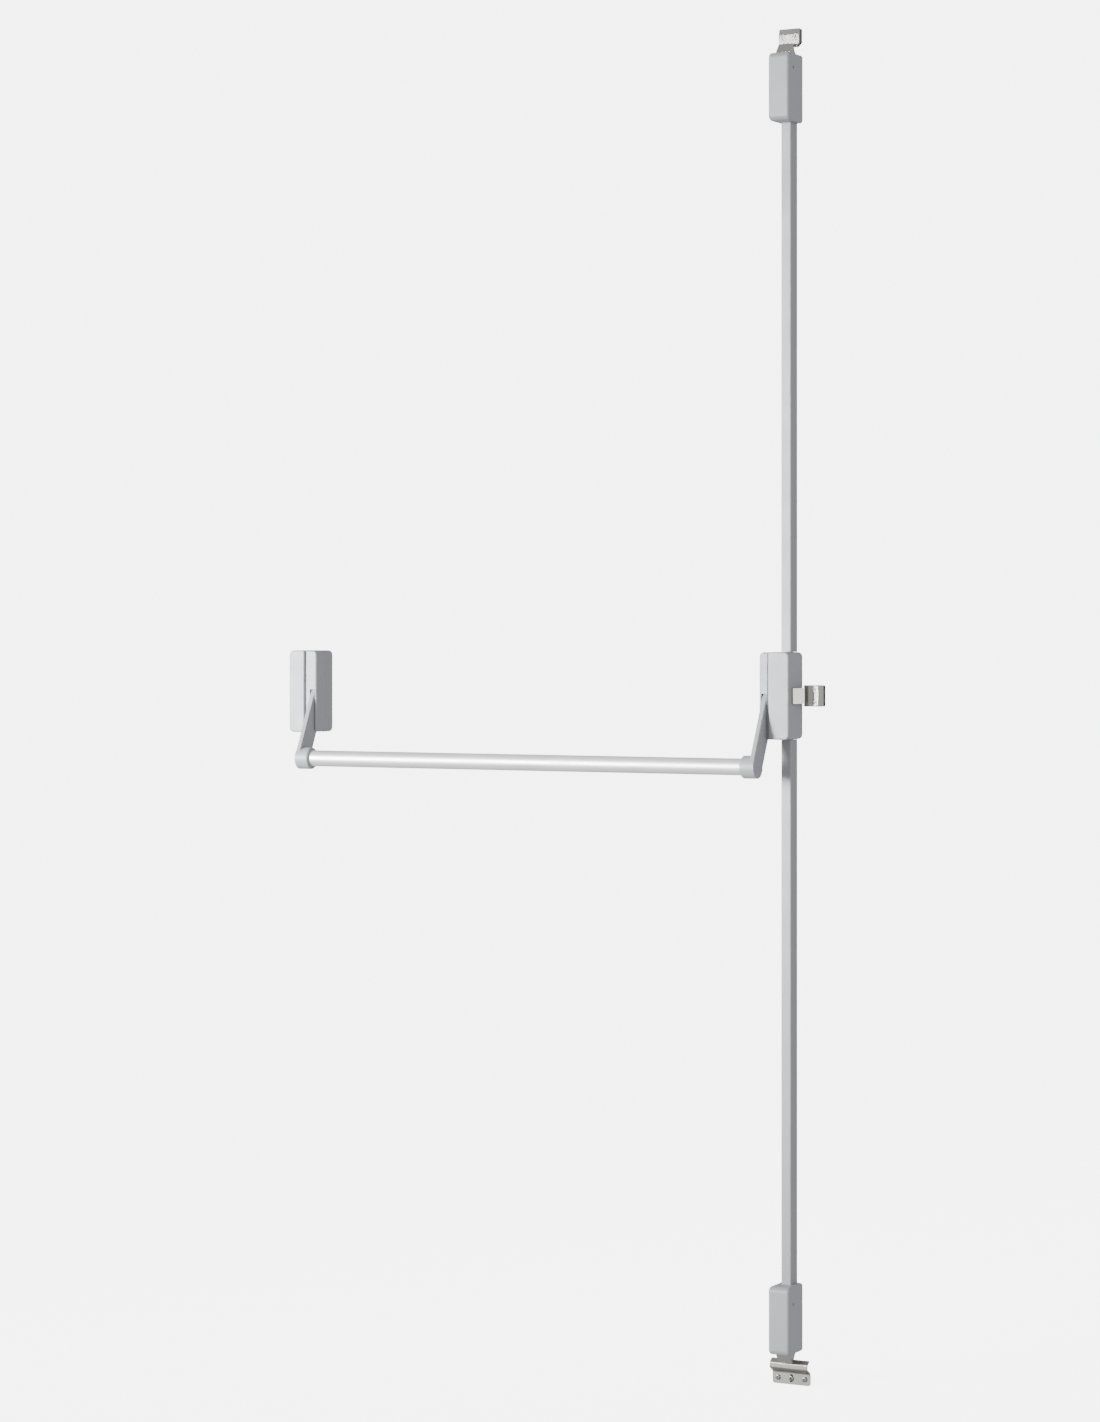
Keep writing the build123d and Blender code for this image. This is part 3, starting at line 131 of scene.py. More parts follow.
class ExitBarStage(PropertyGroup):
    """Camera and light."""
    camera_azimuth: FloatProperty(name="Camera azimuth", description="Angle from the front",
                                  default=radians(28), subtype="ANGLE", unit="ROTATION")
    camera_place: FloatVectorProperty(name="Camera place", description="Where the camera stands",
                                      default=(2.487, -5.517, 0.119), subtype="TRANSLATION", unit="LENGTH")
    lens: FloatProperty(name="Lens", description="Focal length in millimetres", default=92.15,
                        min=10, subtype="NONE")
    shift: FloatProperty(name="Vertical shift", description="Lens shift, share of the image height",
                         default=-0.0614, subtype="FACTOR")
    backdrop: colour("Backdrop", "Plain pale paper", "#F4F4F3")
    glow: FloatProperty(name="Backdrop glow", description="Light that comes through the paper",
                        default=6.0, min=0, subtype="FACTOR")


class ExitBarProperties(PropertyGroup):
    """Everything that a user may change."""
    colours: PointerProperty(name="Colours", description="Colours of the finishes", type=ExitBarColours)
    sizes: PointerProperty(name="Sizes", description="Sizes of small features", type=ExitBarSizes)
    stage: PointerProperty(name="Stage", description="Camera and light", type=ExitBarStage)
    made: StringProperty(name="Made", description="The last piece that was made", default="")


def properties():
    """The scene's own settings."""
    return bpy.context.scene.exit_bar


# ---- materials ---------------------------------------------------------------------

def add_node(tree, kind, settings=None, links=None):
    """Adds a node, sets its properties and inputs, and links sockets into its inputs."""
    made = tree.nodes.new(kind)
    for key, value in (settings or {}).items():
        if key in made.inputs:
            made.inputs[key].default_value = value
        else:
            setattr(made, key, value)
    for key, source in (links or {}).items():
        tree.links.new(source, made.inputs[key])
    return made


def new_material(name):
    """An empty node material with its output, and Object coordinates."""
    material = bpy.data.materials.new(name)
    material.use_nodes = True
    tree = material.node_tree
    tree.nodes.clear()
    place = add_node(tree, "ShaderNodeTexCoord").outputs["Object"]
    return material, tree, place


def finish(tree, shader_settings, colour_out, roughness_out, bumps):
    """The shader with its colour, roughness and a chain of bumps: (height, distance, strength)."""
    normal = None
    for height, distance, strength in bumps:
        links = {"Height": height}
        if normal:
            links["Normal"] = normal
        bump = add_node(tree, "ShaderNodeBump", {"Distance": distance, "Strength": strength}, links)
        normal = bump.outputs["Normal"]
    links = {"Base Color": colour_out, "Roughness": roughness_out}
    if normal:
        links["Normal"] = normal
    shader = add_node(tree, "ShaderNodeBsdfPrincipled", shader_settings, links)
    add_node(tree, "ShaderNodeOutputMaterial", None, {"Surface": shader.outputs["BSDF"]})


def noise(tree, place, size, stretch=(1, 1, 1), detail=2.0):
    """Noise whose blotches measure size metres, drawn out by stretch along each axis."""
    scale = tuple(1 / (size * s) for s in stretch)
    mapped = add_node(tree, "ShaderNodeMapping", {"Scale": scale}, {"Vector": place})
    grain = add_node(tree, "ShaderNodeTexNoise", {"Scale": 1.0, "Detail": detail},
                     {"Vector": mapped.outputs["Vector"]})
    return grain.outputs["Fac"]


def ranged(tree, value, low, high, start=0.3, end=0.7):
    """A value brought from start..end to low..high."""
    spread = add_node(tree, "ShaderNodeMapRange",
                      {"From Min": start, "From Max": end, "To Min": low, "To Max": high},
                      {"Value": value})
    return spread.outputs["Result"]


def shaded(tree, value, base, spread):
    """A colour that varies round the base by a share of its brightness."""
    ramp = add_node(tree, "ShaderNodeMix", {"data_type": "RGBA"})
    tree.links.new(value, ramp.inputs["Factor"])
    colours = [i for i in ramp.inputs if i.type == "RGBA"]
    colours[0].default_value = tuple(min(1, c * (1 - spread)) for c in base[:3]) + (1,)
    colours[1].default_value = tuple(min(1, c * (1 + spread)) for c in base[:3]) + (1,)
    return [o for o in ramp.outputs if o.type == "RGBA"][0]


ORANGE_PEEL = 1.6 * MM      # wavelength of a powder coat's ripple
POWDER_FLECK = 0.5 * MM     # metallic flecks, drawn coarser than the real 0.05 mm so that they show
CASTING_WAVE = 28 * MM      # slow unevenness of a die-cast face
BRUSH_PITCH = 0.35 * MM     # brushing lines, drawn coarser than the real 0.05 mm so that they show
BRUSH_RUN = 60              # how many times longer than wide a brushing line is
ROLL_PITCH = 0.5 * MM       # rolling lines of sheet, drawn coarser than the real ones
PLATE_MOTTLE = 3.0 * MM     # mottling of a zinc passivation
TURNING_PITCH = 0.4 * MM    # tool marks of a turned face, drawn coarser than the real ones
NYLON_GRAIN = 0.6 * MM      # spark-eroded grain of a moulded face
SMUDGE = 70 * MM            # handling marks


def powder_coated_zinc(base):
    """Silver powder coat on a zinc die casting: a soft sheen, fine flecks and orange peel."""
    material, tree, place = new_material("powder_coated_zinc_casting")
    fleck = noise(tree, place, POWDER_FLECK, detail=1.0)
    wave = noise(tree, place, CASTING_WAVE)
    peel = noise(tree, place, ORANGE_PEEL)
    finish(tree, {"Metallic": 0.12, "Coat Weight": 0.08, "Coat Roughness": 0.4},
           shaded(tree, fleck, base, 0.035), ranged(tree, wave, 0.46, 0.53),
           [(wave, 0.10 * MM, 0.25), (peel, 0.02 * MM, 0.5)])
    return material


def brushed_metal(name, base, axis, rough, spread=0.05, metallic=1.0):
    """Anodised or plated metal brushed along one axis: fine lines that smear the reflections."""
    material, tree, place = new_material(name)
    stretch = [1, 1, 1]
    stretch[axis] = BRUSH_RUN
    lines = noise(tree, place, BRUSH_PITCH, stretch, detail=3.0)
    smudge = noise(tree, place, SMUDGE)
    finish(tree, {"Metallic": metallic},
           shaded(tree, lines, base, spread), ranged(tree, smudge, rough - 0.04, rough + 0.04),
           [(lines, 0.006 * MM, 0.6)])
    return material


def anodised_extrusion(base):
    """Matt silver anodised extrusion: fine die lines along Z under a dull, even sheen."""
    material, tree, place = new_material("matt_anodised_extrusion")
    lines = noise(tree, place, BRUSH_PITCH, (1, 1, BRUSH_RUN), detail=3.0)
    smudge = noise(tree, place, SMUDGE)
    finish(tree, {"Metallic": 0.2},
           shaded(tree, lines, base, 0.04), ranged(tree, smudge, 0.44, 0.52),
           [(lines, 0.006 * MM, 0.5)])
    return material


def zinc_plate(name, base, rough):
    """Bright zinc plate on steel: a bluish, lightly mottled passivated surface."""
    material, tree, place = new_material(name)
    mottle = noise(tree, place, PLATE_MOTTLE)
    lines = noise(tree, place, ROLL_PITCH, (1, 1, 30))
    finish(tree, {"Metallic": 1.0},
           shaded(tree, mottle, base, 0.08), ranged(tree, mottle, rough - 0.05, rough + 0.08),
           [(lines, 0.006 * MM, 0.5)])
    return material


def turned_metal(name, base, rough):
    """Ground or drawn round stock: faint rings across its length."""
    material, tree, place = new_material(name)
    rings = noise(tree, place, TURNING_PITCH, (8, 8, 1))
    mottle = noise(tree, place, PLATE_MOTTLE)
    finish(tree, {"Metallic": 1.0},
           shaded(tree, mottle, base, 0.05), ranged(tree, rings, rough - 0.04, rough + 0.05),
           [(rings, 0.005 * MM, 0.4)])
    return material


def moulded_nylon():
    """Black glass-filled nylon, moulded in a spark-eroded tool: a dull, fine grain."""
    material, tree, place = new_material("moulded_black_nylon")
    grain = noise(tree, place, NYLON_GRAIN)
    wave = noise(tree, place, CASTING_WAVE)
    finish(tree, {"Metallic": 0.0, "Specular IOR Level": 0.4},
           shaded(tree, wave, linear("#26272A"), 0.12), ranged(tree, grain, 0.52, 0.64),
           [(grain, 0.03 * MM, 0.6)])
    return material


def make_materials():
    """One material for each of the record's slots."""
    c = properties().colours
    return {
        "cast_paint": powder_coated_zinc(c.powder),
        "tube_aluminium": brushed_metal("satin_anodised_tube", c.tube, 0, 0.46, 0.03, 0.7),
        "cover_aluminium": anodised_extrusion(c.extrusion),
        "bolt_steel": brushed_metal("nickel_plated_steel", c.nickel, 0, 0.26, 0.04),
        "strike_steel": brushed_metal("brushed_stainless_sheet", c.stainless, 0, 0.40),
        "screw_steel": zinc_plate("zinc_plated_screw", c.zinc, 0.30),
        "bracket_steel": zinc_plate("zinc_plated_bracket", c.zinc, 0.36),
        "shaft_steel": turned_metal("ground_steel_shaft", linear("#B4B4B3"), 0.27),
        "spring_steel": turned_metal("oiled_spring_wire", linear("#77787B"), 0.34),
        "bush_brass": turned_metal("sintered_bronze_bush", linear("#B98A4A"), 0.42),
        "black_plastic": moulded_nylon(),
    }


MATERIALS = {}


def material_of(slot_name):
    """The material of a record slot, made once."""
    if not MATERIALS:
        MATERIALS.update(make_materials())
    return MATERIALS[slot_name]


SLOT_OF = {s["node"]: s["material_slot"] for s in frame["record"]["subparts"]}


# ---- pieces --------------------------------------------------------------------------

def keep_piece(piece, node):
    """Gives a finished piece its material, slot and body, and hides the CAD node."""
    slot_name = SLOT_OF[node]
    piece.data.materials.clear()
    piece.data.materials.append(material_of(slot_name))
    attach(piece, BODY_OF[node])
    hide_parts(node)
    properties().made = piece.name


def link_mesh(mesh, name):
    """A new object at the origin for a mesh."""
    piece = bpy.data.objects.new(name, mesh)
    bpy.context.scene.collection.objects.link(piece)
    return piece


def plain_mesh(piece):
    """Turns a piece with modifiers into a plain mesh object of the same name."""
    name = piece.name
    view = bpy.context.evaluated_depsgraph_get()
    mesh = bpy.data.meshes.new_from_object(piece.evaluated_get(view))
    mesh.name = name
    bpy.data.objects.remove(piece)
    return link_mesh(mesh, name)


SMOOTH_ANGLE = radians(32)
FLAT_ANGLE = radians(0.6)
BEVEL_STEPS = 2
WELD_GAP = 0.002 * MM


def softened(node, name, edge):
    """Makes a piece from a CAD node: merged faces, softened sharp edges and even shading."""
    mesh = frame["nodes"][node].data.copy()
    mesh.name = name
    work = bmesh.new()
    work.from_mesh(mesh)
    bmesh.ops.remove_doubles(work, verts=work.verts, dist=WELD_GAP)
    bmesh.ops.dissolve_limit(work, angle_limit=FLAT_ANGLE, verts=work.verts, edges=work.edges)
    wide = [face for face in work.faces if len(face.verts) > 4]
    bmesh.ops.triangulate(work, faces=wide, ngon_method="BEAUTY")
    for face in work.faces:
        face.smooth = True
    work.to_mesh(mesh)
    work.free()
    piece = link_mesh(mesh, name)
    bevel = piece.modifiers.new("soft_edges", "BEVEL")
    bevel.width = edge
    bevel.segments = BEVEL_STEPS
    bevel.limit_method = "ANGLE"
    bevel.angle_limit = SMOOTH_ANGLE
    bevel.use_clamp_overlap = True
    bevel.miter_outer = "MITER_ARC"
    weigh = piece.modifiers.new("even_shading", "WEIGHTED_NORMAL")
    weigh.keep_sharp = False
    keep_piece(plain_mesh(piece), node)


class EXITBAR_OT_castings(Operator):
    """Powder-coated castings: housings, latch cases and arms"""
    bl_idname = "exitbar.castings"
    bl_label = "Castings"

    def execute(self, context):
        edge = properties().sizes.cast_edge
        for node in ("lock_cover", "hinge_cover", "hinge_base_tray", "top_case_cover",
                     "bottom_case_cover", "lock_arm", "hinge_arm"):
            softened(node, f"{node}_casting", edge)
        return {"FINISHED"}


TUBE_STEPS = 96


def circle(radius, steps):
    """Points of a circle about the origin, as pairs."""
    return [(radius * cos(2 * pi * k / steps), radius * sin(2 * pi * k / steps)) for k in range(steps)]


def bridge(work, first, second, smooth=True):
    """Faces between two closed loops with the same number of corners."""
    for k in range(len(first)):
        nxt = (k + 1) % len(first)
        work.faces.new((first[k], first[nxt], second[nxt], second[k])).smooth = smooth


def closed_piece(work, name):
    """A linked object from finished mesh code: normals outwards and sharp corners kept."""
    bmesh.ops.recalc_face_normals(work, faces=work.faces)
    mesh = bpy.data.meshes.new(name)
    work.to_mesh(mesh)
    work.free()
    mesh.set_sharp_from_angle(angle=SMOOTH_ANGLE)
    return link_mesh(mesh, name)


def turned(name, axis_from, rings):
    """A body of revolution about X from a start point; rings are (x, radius) pairs in order."""
    work = bmesh.new()
    loops = [[work.verts.new(axis_from + Vector((x, y, z))) for y, z in circle(radius, TUBE_STEPS)]
             for x, radius in rings]
    for first, second in zip(loops, loops[1:] + loops[:1]):
        bridge(work, first, second)
    return closed_piece(work, name)


class EXITBAR_OT_push_tube(Operator):
    """The satin anodised push tube, with chamfered cut ends"""
    bl_idname = "exitbar.push_tube"
    bl_label = "Push tube"

    def execute(self, context):
        sizes = properties().sizes
        low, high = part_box("crossbar")
        radius = (high.y - low.y) / 2
        bore = radius - sizes.tube_wall
        span = high.x - low.x
        cut = sizes.tube_chamfer
        start = Vector((low.x, middle("crossbar").y, middle("crossbar").z))
        rings = [(0, bore), (0, radius - cut), (cut, radius), (span - cut, radius),
                 (span, radius - cut), (span, bore)]
        keep_piece(turned("push_tube", start, rings), "crossbar")
        return {"FINISHED"}


class EXITBAR_OT_sheet_and_bolts(Operator):
    """Rod covers, wedge bolts, side latch and strikes"""
    bl_idname = "exitbar.sheet_and_bolts"
    bl_label = "Rod covers, bolts and strikes"

    def execute(self, context):
        edge = properties().sizes.plate_edge
        for node in ("upper_rod_cover", "lower_rod_cover", "top_bolt", "bottom_bolt", "side_latch",
                     "top_strike", "side_strike", "bottom_strike"):
            softened(node, f"{node}_finished", edge)
        for node in ("top_strike_packer", "side_strike_packer", "bottom_strike_packer"):
            softened(node, f"{node}_moulded", edge)
        return {"FINISHED"}


# ---- screws: one template, set in rows by geometry nodes -----------------------------

SCREW_STEPS = 24        # corners round a head or shank
RECESS_TAPER = 0.6      # the recess narrows to this share at its floor
RECESS_REACH = 0.62     # half span of the cross, as a share of the head's radius
RECESS_DEPTH = 0.8      # depth of the cross, as a share of the head's height
HEAD_LAND = 0.1 * MM    # the small land at the rim of a flat head
DOME_RIM = 0.7          # where a dome starts to fall, as a share of the head's radius
DOME_DROP = 0.6         # how far it falls, as a share of the head's height
DOME_STEPS = 4
THREAD_ROOT = 0.86      # root of the thread, as a share of the shank's radius
TIP_SHARE = 0.7         # end of the shank, as a share of its radius


def screw_template(name, head_r, head_h, shank_r, tip, flat):
    """A cross-recessed screw whose head's top is at Z = 0 and whose tip is at Z = -tip.

    flat heads are cones; the others are domes that stand on Z = -head_h.
    """
    sizes = properties().sizes
    pitch = sizes.thread_pitch
    half = sizes.recess / 2
    reach = head_r * RECESS_REACH
    if flat:
        rim = head_r - HEAD_LAND
        profile = [(head_r, -HEAD_LAND), (shank_r, -head_h)]
    else:
        rim = head_r * DOME_RIM
        dome = [pi / 2 * k / DOME_STEPS for k in range(1, DOME_STEPS + 1)]
        profile = [(rim + (head_r - rim) * sin(a), -head_h * DOME_DROP * (1 - cos(a))) for a in dome]
        profile += [(head_r, -head_h), (shank_r, -head_h)]
    depth = head_h + pitch
    while depth < tip - pitch:
        profile += [(shank_r, -depth), (shank_r * THREAD_ROOT, -depth - pitch / 2)]
        depth += pitch
    profile.append((shank_r * TIP_SHARE, -tip))
    work = bmesh.new()
    outline = [(half, reach), (half, half), (reach, half), (reach, -half), (half, -half),
               (half, -reach), (-half, -reach), (-half, -half), (-reach, -half), (-reach, half),
               (-half, half), (-half, reach)]
    mouth = [work.verts.new((x, y, 0)) for x, y in outline]
    floor_z = -head_h * RECESS_DEPTH
    pit = [work.verts.new((x * RECESS_TAPER, y * RECESS_TAPER, floor_z)) for x, y in outline]
    loops = [[work.verts.new((x, y, z)) for x, y in circle(radius, SCREW_STEPS)]
             for radius, z in [(rim, 0)] + profile]
    edges = [work.edges.new(pair) for loop in (mouth, loops[0]) for pair in zip(loop, loop[1:] + loop[:1])]
    bmesh.ops.triangle_fill(work, edges=edges, use_beauty=True, use_dissolve=False, normal=(0, 0, 1))
    bridge(work, mouth, pit, smooth=False)
    work.faces.new(pit)
    for first, second in zip(loops, loops[1:]):
        bridge(work, first, second)
    work.faces.new(loops[-1])
    return closed_piece(work, name)


def new_tree(name, inputs):
    """A geometry node tree with a geometry output, named inputs, and its group input node."""
    tree = bpy.data.node_groups.new(name, "GeometryNodeTree")
    for label, kind, default in inputs:
        made = tree.interface.new_socket(label, in_out="INPUT", socket_type=kind)
        if default is not None:
            made.default_value = default
    tree.interface.new_socket("Geometry", in_out="OUTPUT", socket_type="NodeSocketGeometry")
    return tree, add_node(tree, "NodeGroupInput").outputs


def screw_row_tree():
    """Sets a screw on each point, its head along the point's facing, turned at random."""
    tree, given = new_tree("screw_row", [
        ("Points", "NodeSocketGeometry", None), ("Screw", "NodeSocketObject", None),
        ("Seed", "NodeSocketInt", 7), ("Finish", "NodeSocketMaterial", None),
    ])
    facing = add_node(tree, "GeometryNodeInputNamedAttribute",
                      {"data_type": "FLOAT_VECTOR", "Name": "facing"})
    aligned = add_node(tree, "FunctionNodeAlignRotationToVector", {"axis": "Z"},
                       {"Vector": facing.outputs["Attribute"]})
    roll = add_node(tree, "FunctionNodeRandomValue", {"data_type": "FLOAT"}, {"Seed": given["Seed"]})
    angles = [i for i in roll.inputs if i.type == "VALUE" and i.name in ("Min", "Max")]
    for socket, value in zip(angles, (0.0, pi / 2)):
        socket.default_value = value
    spin = [o for o in roll.outputs if o.type == "VALUE"][0]
    turn = add_node(tree, "FunctionNodeAxisAngleToRotation", {"Axis": (0, 0, 1)}, {"Angle": spin})
    both = add_node(tree, "FunctionNodeRotateRotation", {"rotation_space": "LOCAL"},
                    {"Rotation": aligned.outputs["Rotation"], "Rotate By": turn.outputs["Rotation"]})
    screw = add_node(tree, "GeometryNodeObjectInfo", {"transform_space": "ORIGINAL"},
                     {"Object": given["Screw"]})
    placed = add_node(tree, "GeometryNodeInstanceOnPoints", None,
                      {"Points": given["Points"], "Instance": screw.outputs["Geometry"],
                       "Rotation": both.outputs["Rotation"]})
    real = add_node(tree, "GeometryNodeRealizeInstances", None,
                    {"Geometry": placed.outputs["Instances"]})
    coated = add_node(tree, "GeometryNodeSetMaterial", None,
                      {"Geometry": real.outputs["Geometry"], "Material": given["Finish"]})
    add_node(tree, "NodeGroupOutput", None, {"Geometry": coated.outputs["Geometry"]})
    return tree


def grow(name, tree, base, values):
    """Runs a geometry node tree on a base mesh and keeps its result as a plain mesh."""
    piece = link_mesh(base, name)
    modifier = piece.modifiers.new("grow", "NODES")
    modifier.node_group = tree
    by_name = {item.name: item.identifier for item in tree.interface.items_tree
               if item.item_type == "SOCKET" and item.in_out == "INPUT"}
    for label, value in values.items():
        modifier[by_name[label]] = value
    return plain_mesh(piece)


def kind_of_screw(head_r, head_h, shank_r, tip, flat, faces, seed):
    """Sizes of a screw, given in millimetres and kept in metres, and the ways its heads face."""
    return {"sizes": (head_r * MM, head_h * MM, shank_r * MM, tip * MM, flat), "faces": faces, "seed": seed}


FRONT, BELOW, RIGHT, LEFT = (0, -1, 0), (0, 0, -1), (1, 0, 0), (-1, 0, 0)
SCREW_KINDS = {
    "top_strike_screws": kind_of_screw(4.9, 2.5, 2.5, 14.0, True, [FRONT] * 2, 3),
    "side_strike_screws": kind_of_screw(4.9, 2.5, 2.5, 13.2, True, [FRONT] * 2, 5),
    "bottom_strike_screws": kind_of_screw(4.4, 2.4, 2.5, 6.4, False, [FRONT] * 3, 8),
    "top_case_screws": kind_of_screw(3.4, 1.7, 2.0, 5.4, True, [LEFT, RIGHT], 2),
    "bottom_case_screws": kind_of_screw(3.4, 1.7, 2.0, 5.4, True, [LEFT, RIGHT], 9),
    "lock_cover_screw": kind_of_screw(3.6, 1.8, 2.0, 7.8, False, [BELOW], 4),
    "hinge_cover_screw": kind_of_screw(3.6, 1.8, 2.0, 7.8, False, [BELOW], 6),
}


def screw_places(node, kind):
    """The top of each head, spread evenly between the ends of the node's box."""
    low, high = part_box(node)
    head_r = kind["sizes"][0]
    faces = kind["faces"]
    spread = [max(high[k] - low[k] - 2 * head_r, 0) for k in range(3)]
    facing_axis = max(range(3), key=lambda k: abs(faces[0][k]))
    spread[facing_axis] = 0
    along = max(range(3), key=lambda k: spread[k])
    places = []
    for k, face in enumerate(faces):
        spot = middle(node)
        if len(faces) > 1 and spread[along] > head_r:
            spot[along] = low[along] + head_r + spread[along] * k / (len(faces) - 1)
        spot[facing_axis] = high[facing_axis] if face[facing_axis] > 0 else low[facing_axis]
        places.append((spot, face))
    return places


class EXITBAR_OT_screws(Operator):
    """Screws of the strikes, cases and covers, set by geometry nodes"""
    bl_idname = "exitbar.screws"
    bl_label = "Screws"

    def execute(self, context):
        tree = screw_row_tree()
        for node, kind in SCREW_KINDS.items():
            template = screw_template(f"{node}_template", *kind["sizes"])
            points = bpy.data.meshes.new(f"{node}_points")
            places = screw_places(node, kind)
            points.from_pydata([place for place, _ in places], [], [])
            facing = points.attributes.new("facing", "FLOAT_VECTOR", "POINT")
            for item, (_, direction) in zip(facing.data, places):
                item.vector = direction
            piece = grow(f"{node}_turned", tree, points,
                         {"Screw": template, "Seed": kind["seed"], "Finish": material_of(SLOT_OF[node])})
            bpy.data.objects.remove(template)
            if not piece.data.polygons:
                raise RuntimeError(f"{node}: the screw tree made nothing")
            keep_piece(piece, node)
        return {"FINISHED"}


# ---- springs ---------------------------------------------------------------------------

SPRING_TURNS = 9.0
COIL_STEPS = 40     # corners in each turn
WIRE_STEPS = 14     # corners round the wire


def spring_tree():
    """A round-wire compression spring that climbs Z from the origin."""
    tree, given = new_tree("compression_spring", [
        ("Points", "NodeSocketGeometry", None), ("Turns", "NodeSocketFloat", SPRING_TURNS),
        ("Coil radius", "NodeSocketFloat", 6 * MM), ("Height", "NodeSocketFloat", 44 * MM),
        ("Wire radius", "NodeSocketFloat", 0.8 * MM), ("Place", "NodeSocketVector", (0, 0, 0)),
        ("Finish", "NodeSocketMaterial", None),
    ])
    coil = add_node(tree, "GeometryNodeCurveSpiral", {"Resolution": COIL_STEPS},
                    {"Rotations": given["Turns"], "Start Radius": given["Coil radius"],
                     "End Radius": given["Coil radius"], "Height": given["Height"]})
    wire = add_node(tree, "GeometryNodeCurvePrimitiveCircle", {"Resolution": WIRE_STEPS},
                    {"Radius": given["Wire radius"]})
    body = add_node(tree, "GeometryNodeCurveToMesh", {"Fill Caps": True},
                    {"Curve": coil.outputs["Curve"], "Profile Curve": wire.outputs["Curve"]})
    moved = add_node(tree, "GeometryNodeTransform", None,
                     {"Geometry": body.outputs["Mesh"], "Translation": given["Place"]})
    real = add_node(tree, "GeometryNodeRealizeInstances", None, {"Geometry": moved.outputs["Geometry"]})
    coated = add_node(tree, "GeometryNodeSetMaterial", None,
                      {"Geometry": real.outputs["Geometry"], "Material": given["Finish"]})
    add_node(tree, "NodeGroupOutput", None, {"Geometry": coated.outputs["Geometry"]})
    return tree


class EXITBAR_OT_springs(Operator):
    """The two bolt springs, coiled to fill their CAD nodes' boxes"""
    bl_idname = "exitbar.springs"
    bl_label = "Bolt springs"

    def execute(self, context):
        tree = spring_tree()
        wire_r = properties().sizes.wire / 2
        for node, joint, up in (("top_bolt_spring", "upper_rod_slide", 1),
                                ("bottom_bolt_spring", "lower_rod_slide", -1)):
            low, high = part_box(node)
            mid = middle(node)
            height = high.z - low.z
            base = bpy.data.meshes.new(f"{node}_seed")
            piece = grow(f"{node}_coil", tree, base, {
                "Turns": SPRING_TURNS, "Coil radius": (high.x - low.x) / 2 - wire_r,
                "Height": height - 2 * wire_r, "Wire radius": wire_r,
                "Place": (mid.x, mid.y, low.z + wire_r), "Finish": material_of(SLOT_OF[node]),
            })
            if not piece.data.polygons:
                raise RuntimeError(f"{node}: the spring tree made nothing")
            for face in piece.data.polygons:
                face.use_smooth = True
            keep_piece(piece, node)
            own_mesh(piece)
        return {"FINISHED"}


class EXITBAR_OT_inner_gear(Operator):
    """Finishes of the gear inside: every CAD node that still shows"""
    bl_idname = "exitbar.inner_gear"
    bl_label = "Inner gear"

    def execute(self, context):
        for node, piece in frame["nodes"].items():
            if piece.hide_render:
                continue
            piece.data.materials.clear()
            piece.data.materials.append(material_of(SLOT_OF[node]))
        return {"FINISHED"}


# ---- stage -------------------------------------------------------------------------------

FLOOR_GAP = 1.0 * MM
CYC_FLAT = 13.0             # radius of the paper's flat part
CYC_FLAT_STEPS = 6
CYC_BEND = 4.0              # radius of its sweep
CYC_BEND_STEPS = 12
CYC_RISE = 12.0
CYC_SIDES = 96
PAPER_CLOUD = 0.4           # slow unevenness of the paper
KEY_PLACE = (-3.7, -4.6, 0.6)
KEY_TARGET = (-0.8, 0, 0)
KEY_SIZE = (2.2, 1.8)
KEY_WATTS = 64
KEY_GRID = 36               # degrees; keeps the key off the faces that look to the right
FILL_PLACE = (3.6, -1.8, 0.3)
FILL_SIZE = (1.2, 2.6)
FILL_WATTS = 34
AIR_COLOUR = "#F2F4F6"
AIR_STRENGTH = 0.68
SENSOR_HEIGHT = 36
VIEW_DEPTH = 60


def glowing_paper(base, glow):
    """Plain matt paper that is lit from behind, so that it stays pale on every side."""
    material, tree, place = new_material("pale_paper")
    cloud = noise(tree, place, PAPER_CLOUD)
    finish(tree, {"Specular IOR Level": 0.1, "Emission Color": base, "Emission Strength": glow},
           shaded(tree, cloud, base, 0.004), ranged(tree, cloud, 0.9, 0.95), [])
    return material


def cyclorama(floor_z):
    """A round floor that sweeps up into a round wall."""
    profile = [(CYC_FLAT * k / CYC_FLAT_STEPS, floor_z) for k in range(1, CYC_FLAT_STEPS + 1)]
    bend = [pi / 2 * k / CYC_BEND_STEPS for k in range(1, CYC_BEND_STEPS + 1)]
    profile += [(CYC_FLAT + CYC_BEND * sin(a), floor_z + CYC_BEND * (1 - cos(a))) for a in bend]
    profile.append((CYC_FLAT + CYC_BEND, floor_z + CYC_RISE))
    verts = [(0, 0, floor_z)]
    verts += [(x, y, z) for radius, z in profile for x, y in circle(radius, CYC_SIDES)]
    faces = [(0, 1 + k, 1 + (k + 1) % CYC_SIDES) for k in range(CYC_SIDES)]
    for ring in range(len(profile) - 1):
        base = 1 + ring * CYC_SIDES
        for k in range(CYC_SIDES):
            nxt = (k + 1) % CYC_SIDES
            faces.append((base + k, base + CYC_SIDES + k, base + CYC_SIDES + nxt, base + nxt))
    mesh = bpy.data.meshes.new("paper_cyclorama")
    mesh.from_pydata(verts, [], faces)
    for face in mesh.polygons:
        face.use_smooth = True
    return link_mesh(mesh, "paper_cyclorama")


def softbox(name, place, target, size, power, spread=180):
    """A large area light that faces a point; a smaller spread in degrees is a grid on its front."""
    light = bpy.data.lights.new(name, "AREA")
    light.shape = "RECTANGLE"
    light.size, light.size_y = size
    light.energy = power
    light.spread = radians(spread)
    lamp = bpy.data.objects.new(name, light)
    bpy.context.scene.collection.objects.link(lamp)
    lamp.location = place
    lamp.rotation_euler = (Vector(target) - Vector(place)).to_track_quat("-Z", "Y").to_euler()


